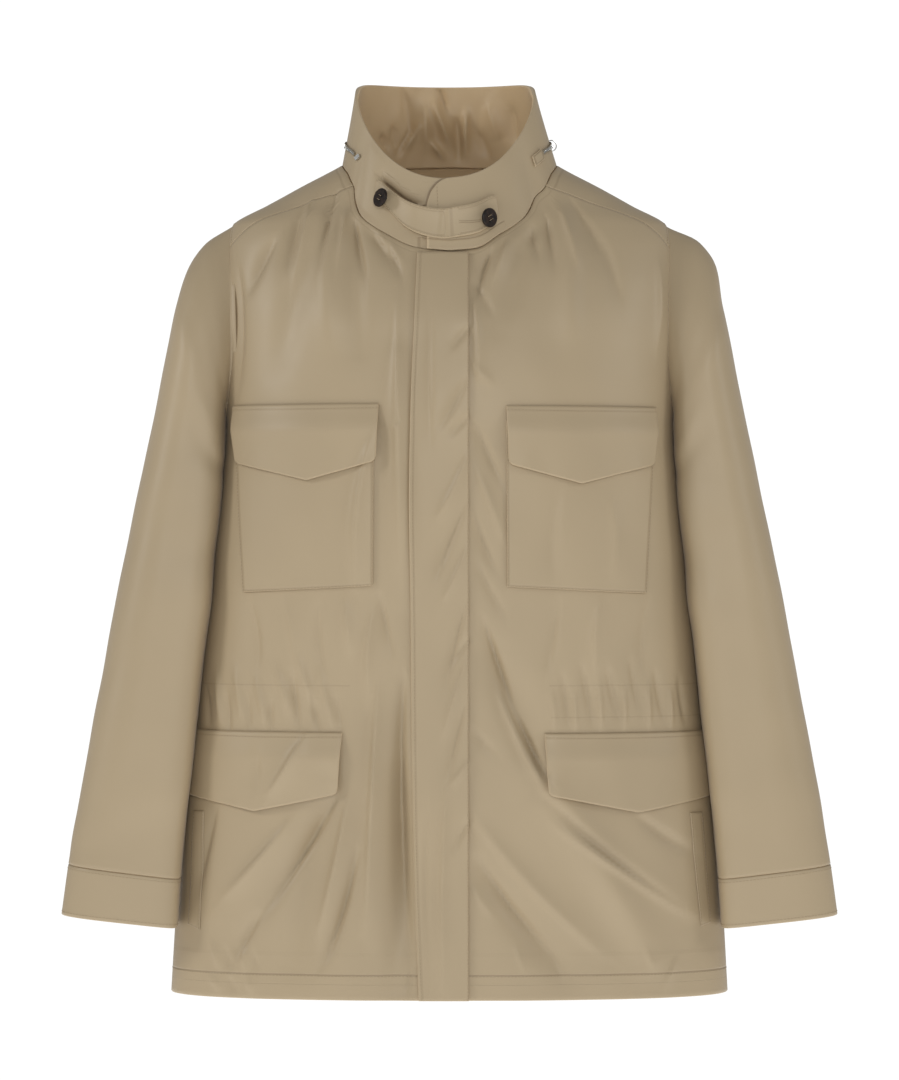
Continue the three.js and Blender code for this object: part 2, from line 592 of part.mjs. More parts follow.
// Pocket patches: corners at the mouth and the foot, nearest the centre (in) and the side (out).
const PATCHES = [
  { name: "chest_pocket_right", outX: -200, inX: -69, topZ: -236, footOutX: -191, footInX: -70.5,
    footOutZ: -395.5, footInZ: -389 },
  { name: "chest_pocket_left", outX: 190, inX: 52.2, topZ: -237, footOutX: 182, footInX: 53,
    footOutZ: -396.5, footInZ: -390 },
  { name: "pocket_welt_right", outX: -240, inX: -230, topZ: -601, footOutX: -245.5, footInX: -233.5,
    footOutZ: -708, footInZ: -712 },
  { name: "pocket_welt_left", outX: 236.5, inX: 224.6, topZ: -602, footOutX: 245, footInX: 235,
    footOutZ: -706, footInZ: -709 },
];
const PATCH_LIFT = 1.3;
const WELT_LIFT = 0.7;
function pocketPatch(row) {
  const across = Math.abs(row.outX - row.inX) > 50 ? 7 : 1;
  const rows = [];
  for (let j = 0; j <= 6; j += 1) {
    rows.push([]);
    for (let i = 0; i <= across; i += 1) {
      const u = i / across;
      const v = j / 6;
      const x = mix(mix(row.footInX, row.footOutX, u), mix(row.inX, row.outX, u), v);
      const z = mix(mix(row.footInZ, row.footOutZ, u), row.topZ, v);
      rows[j].push([...onFront(x, z, (across > 1 ? PATCH_LIFT : WELT_LIFT) + CLOTH), u]);
    }
  }
  return wall(rows, CLOTH, { flip: row.outX < 0 });
}
for (const row of PATCHES) add(row.name, pocketPatch(row), CLOTH_LOOK);

// Pointed flaps: top edge, lower corners and point, and how far they stand off below the seam.
const FLAPS = [
  { name: "chest_flap_right", inX: -65, outX: -202, topZ: -221.6, lowInX: -66.5, lowOutX: -196,
    lowInZ: -274, lowOutZ: -275.5, tipX: -130, tipZ: -292, off: 3.8, offOut: 3.8 },
  { name: "chest_flap_left", inX: 52.2, outX: 192, topZ: -223.5, lowInX: 53.5, lowOutX: 187,
    lowInZ: -277, lowOutZ: -277.5, tipX: 120, tipZ: -295, off: 3.8, offOut: 3.8 },
  { name: "hip_flap_right", inX: -99, outX: -237, topZ: -525, lowInX: -103, lowOutX: -245,
    lowInZ: -582, lowOutZ: -586, tipX: -179.5, tipZ: -598.5, off: 2.4, offOut: 0.3 },
  { name: "hip_flap_left", inX: 87.8, outX: 239, topZ: -526, lowInX: 90, lowOutX: 244.5,
    lowInZ: -582, lowOutZ: -587, tipX: 174.4, tipZ: -600, off: 2.4, offOut: 0.3 },
];
const FLAP_COLUMNS = [0, 0.03, 0.16, 0.32, 0.5, 0.68, 0.84, 0.97, 1];
const FLAP_ROWS = [0, 0.35, 0.7, 0.85, 1];
const FLAP_CORNER = 5; // how far a rounded corner is cut back
const FLAP_CLOTH = 1.8;
function flap(row) {
  const tip = (row.tipX - row.lowInX) / (row.lowOutX - row.lowInX);
  const rows = FLAP_ROWS.map((v) =>
    FLAP_COLUMNS.map((u) => {
      const cut = u === 0 || u === 1 ? FLAP_CORNER : 0;
      const low = u < tip
        ? mix(row.lowInZ, row.tipZ, u / tip)
        : mix(row.tipZ, row.lowOutZ, (u - tip) / (1 - tip));
      const z = mix(low + cut, row.topZ, v);
      const x = mix(mix(row.lowInX, row.lowOutX, u), mix(row.inX, row.outX, u), v);
      const off = mix(row.off, row.offOut, u * u) * smooth(0, 12, row.topZ - z);
      return [...onFront(x, z, LIFT + FLAP_CLOTH + off), u];
    }));
  return wall(rows, FLAP_CLOTH, { flip: row.outX < 0 });
}
for (const row of FLAPS) add(row.name, flap(row), CLOTH_LOOK);

// A frame on the collar at a turn and height: x runs round the neck towards +turn, y up, z out.
function collarFrame(turn, up, lift) {
  const p = onCollar(turn, up, lift);
  const along = onCollar(turn + 0.5, up, lift).sub(onCollar(turn - 0.5, up, lift)).normalize();
  const out = collarNormal(runOf(turn), up);
  const rise = out.clone().cross(along).normalize();
  const frame = new THREE.Matrix4().makeBasis(rise.clone().cross(out), rise, out);
  return frame.setPosition(p);
}
function place(mesh, frame) {
  frame.decompose(mesh.position, mesh.quaternion, mesh.scale);
  return mesh;
}

// Horn buttons with four thread holes and a bevelled rim. Each leans on its thread, about a line
// across its face.
const BUTTON = { radius: 9, thick: 3, rim: 0.7, hole: 0.9, holeAt: 2 };
const BUTTONS = [
  { name: "button_right", turn: -16.75, up: 0.44, lean: 33, line: -62 },
  { name: "button_left", turn: 9.5, up: 0.31, lean: 33, line: 35 },
];
function circle(x, y, radius, sides) {
  return Array.from({ length: sides }, (_, i) => {
    const a = (2 * Math.PI * i) / sides;
    return new THREE.Vector2(x + radius * Math.cos(a), y + radius * Math.sin(a));
  });
}
function buttonGeometry() {
  const face = new THREE.Shape(circle(0, 0, BUTTON.radius - BUTTON.rim, 24));
  for (const [sx, sy] of [[1, 1], [1, -1], [-1, 1], [-1, -1]])
    face.holes.push(new THREE.Path(
      circle(sx * BUTTON.holeAt, sy * BUTTON.holeAt, BUTTON.hole + BUTTON.rim, 6)));
  return new THREE.ExtrudeGeometry(face, {
    depth: BUTTON.thick - 2 * BUTTON.rim,
    bevelThickness: BUTTON.rim,
    bevelSize: BUTTON.rim,
    bevelSegments: 1,
  }).translate(0, 0, BUTTON.rim);
}
for (const { name, turn, up, lean, line } of BUTTONS) {
  const above = tabLift(turn) + TAB.thick + 0.9 + BUTTON.radius * Math.sin(lean * RAD);
  const across = V(Math.cos(line * RAD), Math.sin(line * RAD), 0);
  const tilt = new THREE.Matrix4().makeRotationAxis(across, lean * RAD);
  place(add(name, buttonGeometry(), HORN_LOOK), collarFrame(turn, up, above).multiply(tilt));
}

// The stowed hood's zip goes round the back of the collar. It ends in a stop at the wearer's
// right and under a small cloth garage at the left, with its slider parked at the side.
const ZIP = { start: 42, end: 45, wide: 5, thick: 1.2, garage: 13 };
const ZIP_UP = [
  { turn: 33, up: 0.49 },
  { turn: 43, up: 0.41 },
  { turn: 62, up: 0.31 },
  { turn: 88, up: 0.28 },
  { turn: 120, up: 0.26 },
  { turn: 180, up: 0.3 },
];
const zipHeight = curve(ZIP_UP, "turn", "up");
const zipUp = (turn) => zipHeight(Math.abs(turn));
function collarStrip(turns, half, lift, thick, flip) {
  const rows = [-half, half].map((v) =>
    turns.map((turn, i) => {
      const up = zipUp(turn) + v / 68;
      const run = turn < 0 ? -turn : 360 - turn;
      return [collarPoint(run, up, lift + thick), collarNormal(run, up), i];
    }));
  return wall(rows, thick, { flip });
}
const ZIP_RUN = [...NECK_COLUMNS.filter((t) => t > ZIP.end + 3), 180];
const ZIP_TURNS = [ZIP.start, ...new Set(ZIP_RUN)].map((t) => -t)
  .concat([...new Set(ZIP_RUN)].slice(0, -1).reverse(), ZIP.end);
add("hood_zip", collarStrip(ZIP_TURNS, ZIP.wide / 2, LIFT, ZIP.thick, true), TAPE_LOOK);
add("zip_garage", collarStrip([ZIP.end - ZIP.garage, ZIP.end - 7, ZIP.end - 1.2], 6, LIFT, 1.6, false),
  CLOTH_LOOK);

// A solid from a closed geometry, and back, for joining metal forms.
const wasm = await Module();
wasm.setup();
function solid(geometry) {
  const bare = geometry.clone().deleteAttribute("normal").deleteAttribute("uv");
  const merged = mergeVertices(bare, 1e-4);
  const triVerts = merged.index
    ? new Uint32Array(merged.index.array)
    : Uint32Array.from({ length: merged.attributes.position.count }, (_, i) => i);
  return new wasm.Manifold(
    new wasm.Mesh({ numProp: 3, vertProperties: merged.attributes.position.array, triVerts }),
  );
}
function geometryOf(made) {
  const mesh = made.getMesh();
  const geometry = new THREE.BufferGeometry();
  geometry.setAttribute("position", new THREE.BufferAttribute(mesh.vertProperties, 3));
  return geometry.setIndex(new THREE.BufferAttribute(mesh.triVerts, 1));
}

// The slider is a plate with a crown over it. A wire ring hangs on the crown's bar and swings.
const SLIDER = { turn: 113, long: 9, wide: 6, thick: 1.4, crown: 8, bar: 1, legs: 1.1, barAt: 3.2 };
const PULL = { radius: 5.2, wire: 0.55, gap: 0.25, lean: 50 }; // lean is out from hanging straight
const zipOut = LIFT + ZIP.thick + 0.4;
const sliderFrame = collarFrame(SLIDER.turn, zipUp(SLIDER.turn), zipOut);
function sliderGeometry() {
  const outline = new THREE.Shape();
  const x = SLIDER.long / 2;
  const y = SLIDER.wide / 2;
  outline.moveTo(-x, -y * 0.6).lineTo(-x * 0.5, -y).lineTo(x * 0.6, -y).lineTo(x, -y * 0.3);
  outline.lineTo(x, y * 0.3).lineTo(x * 0.6, y).lineTo(-x * 0.5, y).lineTo(-x, y * 0.6);
  const plate = new THREE.ExtrudeGeometry(outline, { depth: SLIDER.thick, bevelEnabled: false });
  const half = SLIDER.crown / 2;
  const top = SLIDER.barAt + SLIDER.bar / 2;
  const low = SLIDER.barAt - SLIDER.bar / 2;
  const arch = new THREE.Shape();
  arch.moveTo(-half, -0.5).lineTo(-half, top - 0.6).lineTo(-half + 0.6, top);
  arch.lineTo(half - 0.6, top).lineTo(half, top - 0.6).lineTo(half, -0.5);
  arch.lineTo(half - SLIDER.legs, -0.5).lineTo(half - SLIDER.legs, low);
  arch.lineTo(-half + SLIDER.legs, low).lineTo(-half + SLIDER.legs, -0.5);
  const crown = new THREE.ExtrudeGeometry(arch, { depth: SLIDER.bar, bevelEnabled: false })
    .translate(0, 0, -SLIDER.bar / 2)
    .rotateX(Math.PI / 2)
    .translate(0, 0, SLIDER.thick);
  return geometryOf(solid(plate).add(solid(crown)));
}
place(add("zip_slider", sliderGeometry(), METAL_LOOK), sliderFrame);

const hang = PULL.radius - PULL.wire - SLIDER.bar * Math.SQRT1_2 - PULL.gap; // ring centre to bar
const ring = new THREE.TorusGeometry(PULL.radius, PULL.wire, 7, 22)
  .rotateY(Math.PI / 2)
  .translate(0, -hang * Math.cos(PULL.lean * RAD), hang * Math.sin(PULL.lean * RAD));
const barFrame = sliderFrame.clone()
  .multiply(new THREE.Matrix4().makeTranslation(0, 0, SLIDER.thick + SLIDER.barAt));
place(add("zip_pull", ring, METAL_LOOK), barFrame);

const stop = new THREE.BoxGeometry(4, 6, 1.8).translate(0, 0, 0.9);
place(add("zip_stop", stop, METAL_LOOK), collarFrame(-ZIP.start + 4.6, zipUp(ZIP.start - 4.6), 0.6));

export default group;
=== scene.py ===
import bpy
import numpy as np
from mathutils import Matrix, Vector


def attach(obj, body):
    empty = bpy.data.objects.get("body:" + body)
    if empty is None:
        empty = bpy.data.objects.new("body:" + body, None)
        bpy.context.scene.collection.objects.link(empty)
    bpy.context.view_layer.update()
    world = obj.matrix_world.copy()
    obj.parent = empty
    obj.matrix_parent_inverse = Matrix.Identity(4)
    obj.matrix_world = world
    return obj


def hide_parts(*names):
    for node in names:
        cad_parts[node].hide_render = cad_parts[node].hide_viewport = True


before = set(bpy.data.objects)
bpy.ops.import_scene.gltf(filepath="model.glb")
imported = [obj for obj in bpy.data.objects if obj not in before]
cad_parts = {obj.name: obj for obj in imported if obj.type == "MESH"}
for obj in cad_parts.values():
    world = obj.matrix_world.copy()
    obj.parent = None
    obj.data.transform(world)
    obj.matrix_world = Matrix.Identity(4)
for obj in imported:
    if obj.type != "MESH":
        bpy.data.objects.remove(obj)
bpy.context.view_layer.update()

# The cloth: one smooth, fine technical weave in tan with a soft sheen. Everything sewn on the
# jacket is cut from it, and the inside shows the same cloth a little browner and painted half as light
# again, painted light for the light that falls into the hollows. Lines of sewing press a narrow groove into
# it, with thread of the same colour at the bottom.
MM = 0.001
CLOTH_COLOUR = (0.404, 0.316, 0.199)


class Value:
    """A shader socket that takes plain arithmetic."""

    def __init__(self, tree, socket):
        self.tree = tree
        self.socket = socket

    def math(self, kind, *others):
        node = self.tree.nodes.new("ShaderNodeMath")
        node.operation = kind
        for at, value in enumerate((self, *others)):
            if isinstance(value, Value):
                self.tree.links.new(value.socket, node.inputs[at])
            else:
                node.inputs[at].default_value = value
        return Value(self.tree, node.outputs[0])

    def __add__(self, other):
        return self.math("ADD", other)

    def __sub__(self, other):
        return self.math("SUBTRACT", other)

    def __mul__(self, other):
        return self.math("MULTIPLY", other)

    def __radd__(self, other):
        return self.math("ADD", other)

    def __rmul__(self, other):
        return self.math("MULTIPLY", other)

    def __rsub__(self, other):
        return self.math("MULTIPLY", -1.0).math("ADD", other)

    def step(self, low, high):
        """Smooth step from 0 at low to 1 at high."""
        node = self.tree.nodes.new("ShaderNodeMapRange")
        node.interpolation_type = "SMOOTHSTEP"
        self.tree.links.new(self.socket, node.inputs[0])
        node.inputs[1].default_value = low
        node.inputs[2].default_value = high
        return Value(self.tree, node.outputs[0])


class Look:
    """A procedural material, its nodes made one call at a time."""

    def __init__(self, name):
        self.material = bpy.data.materials.new(name)
        self.material.use_nodes = True
        self.tree = self.material.node_tree
        self.shader = self.tree.nodes["Principled BSDF"]

    def fill(self, node, sockets):
        """Links or sets a node's sockets, by name, or by number as i0, i1 and so on."""
        for key, value in sockets.items():
            by_number = key[0] == "i" and key[1:].isdigit()
            socket = node.inputs[int(key[1:]) if by_number else key.replace("_", " ")]
            if isinstance(value, Value):
                self.tree.links.new(value.socket, socket)
            else:
                socket.default_value = value

    def node(self, kind, out=0, settings=(), **sockets):
        """Adds a node with its settings and its sockets, and returns one of its outputs."""
        node = self.tree.nodes.new(kind)
        for key, value in dict(settings).items():
            setattr(node, key, value)
        self.fill(node, sockets)
        return Value(self.tree, node.outputs[out])

    def field(self, name):
        """A number that the mesh carries at each of its points."""
        return self.node("ShaderNodeAttribute", 2, {"attribute_name": name})

    def mix(self, share, low, high):
        """Colour between two colours."""
        return self.node("ShaderNodeMix", 2, {"data_type": "RGBA"}, i0=share, i6=low, i7=high)

    def put(self, **sockets):
        """Sets the surface's own sockets."""
        self.fill(self.shader, sockets)


def cloth_look(name, painted_brightening=1.0, brown=0.0):
    """The woven cloth: colour that drifts a little, a fine weave, and grooves with darker lines along its
    seams, which on the collar also paint shadow lines. Free edges get a painted highlight, and a lightening
    factor over one brightens the whole colour as painted light.
    """
    look = Look(name)
    place = look.node("ShaderNodeTexCoord", 3)
    drift = look.node("ShaderNodeTexNoise", 0, i0=place, Scale=7.0, Detail=2.0)
    base = [c * painted_brightening * (1 - brown * k) for c, k in zip(CLOTH_COLOUR, (0.10, 0.22, 0.36))]
    colour = look.mix(drift.step(0.3, 0.7), (*[c * 0.975 for c in base], 1), (*[c * 1.025 for c in base], 1))
    # Darker lines along the seam field: the seams' own dark lines, and on the collar a painted shadow above
    # the throat tab and painted shade beside the lap's corner.
    seam = look.field("seam").math("ABSOLUTE")
    pressed = look.field("pressed")
    dark = (1 - seam.step(0.25, 1.1)) * 0.5 * pressed
    colour = look.mix(dark, colour, (*[c * k for c, k in zip(base, (0.40, 0.34, 0.28))], 1))
    # Painted highlight: free edges are mixed towards a lighter tan, as if a turned edge caught the light.
    painted_highlight = look.field("painted_highlight") * 0.45
    colour = look.mix(painted_highlight, colour, (*[min(1, c * 1.5) for c in base], 1))
    warp = look.node("ShaderNodeTexNoise", 0, i0=place, Scale=900.0, Detail=1.0)
    slub = look.node("ShaderNodeTexNoise", 0, i0=place, Scale=60.0, Detail=3.0)
    groove = seam.step(0.0, 1.5) * 0.5 * pressed
    height = groove + warp * 0.05 + slub * 0.06
    bump = look.node("ShaderNodeBump", 0, Strength=0.7, Distance=MM, Height=height)
    rough = slub * 0.10 + 0.41
    look.put(Base_Color=colour, Roughness=rough, Normal=bump, Sheen_Weight=0.10, Sheen_Roughness=0.35,
             Specular_IOR_Level=0.42)
    return look.material


CLOTH = cloth_look("tan_cloth")
# The inside is the same cloth a little browner and painted half as light again: painted light that stands in
# for the light falling into the collar's hollow.
INSIDE_PAINTED_LIGHTER = cloth_look("tan_cloth_inside_painted_lighter", 1.5, 0.5)


def smooth(low, high, value):
    """Smooth step from 0 at low to 1 at high."""
    t = np.clip((value - low) / (high - low), 0, 1)
    return t * t * (3 - 2 * t)


def blend(a, b, share):
    return a + (b - a) * share


def curve(*rows):
    """Smooth curve through (place, value) rows without overshoot: monotone cubic."""
    x, y = np.array(rows, float).T
    slope = np.diff(y) / np.diff(x)
    tangent = np.concatenate([slope[:1], slope[1:], slope[-1:]])
    before, after = slope[:-1], slope[1:]
    same = before * after > 0
    total = np.where(same, before + after, 1)
    tangent[1:-1] = np.where(same, 2 * before * after / total, 0)

    def at(value):
        t = np.clip(value, x[0], x[-1])
        i = np.clip(np.searchsorted(x, t) - 1, 0, len(x) - 2)
        h = x[i + 1] - x[i]
        s = (t - x[i]) / h
        rise = y[i] * (1 + 2 * s) * (1 - s) ** 2 + y[i + 1] * s * s * (3 - 2 * s)
        return rise + h * (tangent[i] * s * (1 - s) ** 2 - tangent[i + 1] * s * s * (1 - s))

    return at


def unit(vectors):
    return vectors / np.maximum(np.linalg.norm(vectors, axis=-1, keepdims=True), 1e-12)


def wave(value, seed):
    """Uneven wave between about -1 and 1: three sines whose lengths share no measure."""
    return (np.sin(value + seed) + 0.7 * np.sin(value * 1.73 + seed * 2.1)
            + 0.5 * np.sin(value * 0.61 + seed * 3.7)) / 2.2


# A seam field holds the distance from the nearest line of sewing, and this where there is none.
NO_SEAM = 99.0
PLY = 1.6
TURNED_EDGE = 0.35


def shell(name, outer, normals, thick, ring=False, flip=False, fields=NO_SEAM, pressed=1.0,
          free=(1, 1, 1, 1)):
    """A closed cloth wall under a grid of outer points, in millimetres. The free edges are
    sunk by a share of the thickness, so that they look turned and not cut, and those named in
    free (first and last row, first and last column) get a painted highlight, colour a little lighter where a
    turned edge would catch the light.
    A last number over 1 paints that many columns lighter."""
    rows, columns = outer.shape[:2]
    sunk = np.zeros((rows, columns))
    sunk[[0, -1], :] = TURNED_EDGE
    if not ring:
        sunk[:, [0, -1]] = TURNED_EDGE
    thick = np.broadcast_to(np.asarray(thick, float), (rows, columns))
    sunk = (sunk * thick)[..., None] * normals
    inner = outer - normals * thick[..., None] + sunk
    outer = outer - sunk
    points = np.concatenate([outer.reshape(-1, 3), inner.reshape(-1, 3)]) * MM
    index = np.arange(rows * columns).reshape(rows, columns)
    if ring:
        index = np.hstack([index, index[:, :1]])
    a, b = index[:-1, :-1].ravel(), index[:-1, 1:].ravel()
    c, d = index[1:, 1:].ravel(), index[1:, :-1].ravel()
    count = rows * columns
    faces = [np.stack([a, b, c, d], 1), np.stack([a, d, c, b], 1) + count]
    rims = [index[0], index[-1][::-1]]
    if not ring:
        rims += [index[:, -1], index[:, 0][::-1]]
    for line in rims:
        low, high = line[:-1], line[1:]
        faces.append(np.stack([low, low + count, high + count, high], 1))
    faces = np.concatenate(faces)
    if flip:
        faces = faces[:, ::-1]
    mesh = bpy.data.meshes.new(name)
    mesh.vertices.add(len(points))
    mesh.vertices.foreach_set("co", points.ravel())
    mesh.loops.add(faces.size)
    mesh.loops.foreach_set("vertex_index", faces.ravel())
    mesh.polygons.add(len(faces))
    mesh.polygons.foreach_set("loop_start", np.arange(0, faces.size, 4))
    mesh.polygons.foreach_set("use_smooth", np.ones(len(faces), bool))
    inside = np.zeros(len(faces), np.int32)
    inside[len(a):2 * len(a)] = 1
    mesh.polygons.foreach_set("material_index", inside)
    mesh.update()
    mesh.validate()
    # The painted highlight's share at each point: free edges are coloured lighter.
    painted_highlight = np.zeros((rows, columns))
    if not ring:
        painted_highlight[:, 0] = free[2]
        painted_highlight[:, -max(1, int(free[3])):] = min(1, free[3])
    painted_highlight[0], painted_highlight[-1] = np.maximum(painted_highlight[0], free[0]), np.maximum(painted_highlight[-1], free[1])
    for field, outside, within in (("seam", fields, NO_SEAM), ("pressed", pressed, 1.0), ("painted_highlight", painted_highlight, painted_highlight)):
        values = np.stack([np.broadcast_to(share, (rows, columns)) for share in (outside, within)])
        mesh.attributes.new(field, "FLOAT", "POINT").data.foreach_set("value", values.astype(float).ravel())
    mesh.materials.append(CLOTH)
    mesh.materials.append(INSIDE_PAINTED_LIGHTER)
    piece = bpy.data.objects.new(name, mesh)
    bpy.context.scene.collection.objects.link(piece)
    return piece


def declare(piece, node):
    """Hides the solid that a cloth piece stands in for, and hangs the piece on the jacket's body."""
    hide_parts(node)
    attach(piece, "jacket")


def cloth(node, flat, area, *wall, **edges):
    """A piece of the jacket's own cloth, built by shell in place of its solid, which is hidden."""
    declare(shell(f"{node}_cloth", *wall, **edges), node)


# Thread of the cloth's own colour, a little browner and twisted.
THREAD = Look("tan_thread")
twist = THREAD.node("ShaderNodeTexNoise", 0, i0=THREAD.node("ShaderNodeTexCoord", 3), Scale=1500.0)
THREAD.put(Base_Color=THREAD.mix(twist, (0.30, 0.225, 0.135, 1), (0.36, 0.275, 0.17, 1)), Roughness=0.55)


BLOCK_FACES = np.array([(0, 3, 2, 1), (4, 5, 6, 7), (0, 1, 5, 4), (1, 2, 6, 5), (2, 3, 7, 6), (3, 0, 4, 7)])


def small_blocks(name, groups, look, faces=BLOCK_FACES):
    """One mesh of many six-sided blocks in millimetres. Each group holds eight arrays of corners,
    the four of the foot and then the four of the top."""
    points = np.concatenate([np.stack(corners, 1).reshape(-1, 3) for corners in groups]) * MM
    first = np.arange(0, len(points), 8)[:, None, None]
    mesh = bpy.data.meshes.new(name)
    mesh.from_pydata(points.tolist(), [], (first + faces).reshape(-1, 4).tolist())
    mesh.materials.append(look.material)
    piece = bpy.data.objects.new(name, mesh)
    bpy.context.scene.collection.objects.link(piece)
    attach(piece, "jacket")


# A stitch's corners as shares of its half length, half width and height: a foot and a smaller top.
STITCH = ((-1, -1, -1), (1, -1, -1), (1, 1, -1), (-1, 1, -1),
          (-0.7, -0.5, 1), (0.7, -0.5, 1), (0.7, 0.5, 1), (-0.7, 0.5, 1))


def sew(name, lines, pitch=3.3, long=2.4):
    """Stitches along lines of (points, normals) in millimetres: small bars of thread half sunk
    in the cloth, all of one seam group in one mesh."""
    groups = []
    for points, normals in lines:
        step = np.linalg.norm(np.diff(points, axis=0), axis=1)
        length = np.concatenate([[0], np.cumsum(step)])
        at = np.arange(pitch / 2, length[-1] - pitch / 2, pitch)
        centre = np.stack([np.interp(at, length, points[:, k]) for k in range(3)], -1)
        ahead = np.stack([np.interp(at + 0.6, length, points[:, k]) for k in range(3)], -1)
        out = unit(np.stack([np.interp(at, length, normals[:, k]) for k in range(3)], -1))
        along = unit(ahead - centre)
        across = np.cross(out, along)
        groups.append([centre + along * a * long / 2 + across * b * 0.27 + out * (0.05 + 0.2 * c)
                       for a, b, c in STITCH])
    small_blocks(name, groups, THREAD)


# The body: level ovals from the neck to the hem, filled out as if worn. The two fronts meet
# under the placket and reach the side seams, the armholes, the neck and the yoke's seams.
SQUARE = 2.4
HEM_Z, PIT_Z = -774, -240
BODY_Z = (-774, -705, -594, -490, -405, -310, -240, -150, -110, -72, -49, -30, -14, 9, 20)
HALF_WIDE = (264, 260, 252, 240, 230, 220, 214, 216, 216, 213, 206, 173, 144, 101, 84)
FRONT_DEEP = (100, 102, 108, 115, 122, 128, 128, 116, 104, 86, 72, 61, 56, 46, 42)
BACK_DEEP = (102, 103, 105, 107, 112, 119, 124, 123, 120, 114, 109, 103, 98, 88, 83)
body_half = curve(*zip(BODY_Z, HALF_WIDE))
body_front = curve(*zip(BODY_Z, FRONT_DEEP))
body_back = curve(*zip(BODY_Z, BACK_DEEP))
# The neck seam's height, by turn from the centre front.
neck_curve = curve((0, -78.5), (8, -75), (17, -59.5), (27.4, -34.5), (36.3, -14.5), (52, 0),
                   (70, 6.5), (90, 9), (130, 12), (180, 15))
# The large folds, by the side they are seen from: x and z of their two ends, width and rise.
FRONT, BACK = -1, 1
FOLDS = {FRONT: [
    (-118, -45, -112, -160, 11, 3.2), (-92, -40, -84, -170, 10, -3), (-130, -60, -160, -190, 14, -3),
    (108, -30, 112, -150, 12, 3), (76, -50, 46, -150, 12, -3), (-48, -180, -42, -400, 11, 3),
    (-44, -560, -50, -760, 13, -5), (-110, -570, -145, -740, 16, -5), (44, -455, 84, -560, 15, -5),
    (84, -560, 190, -735, 18, 6), (32, -650, 104, -745, 15, -4),
], BACK: [
    (-120, -120, -100, -300, 18, -4), (116, -130, 92, -310, 16, -4), (-60, -540, -84, -740, 18, 5),
    (70, -550, 96, -745, 18, -5), (10, -560, -4, -730, 16, 4),
]}
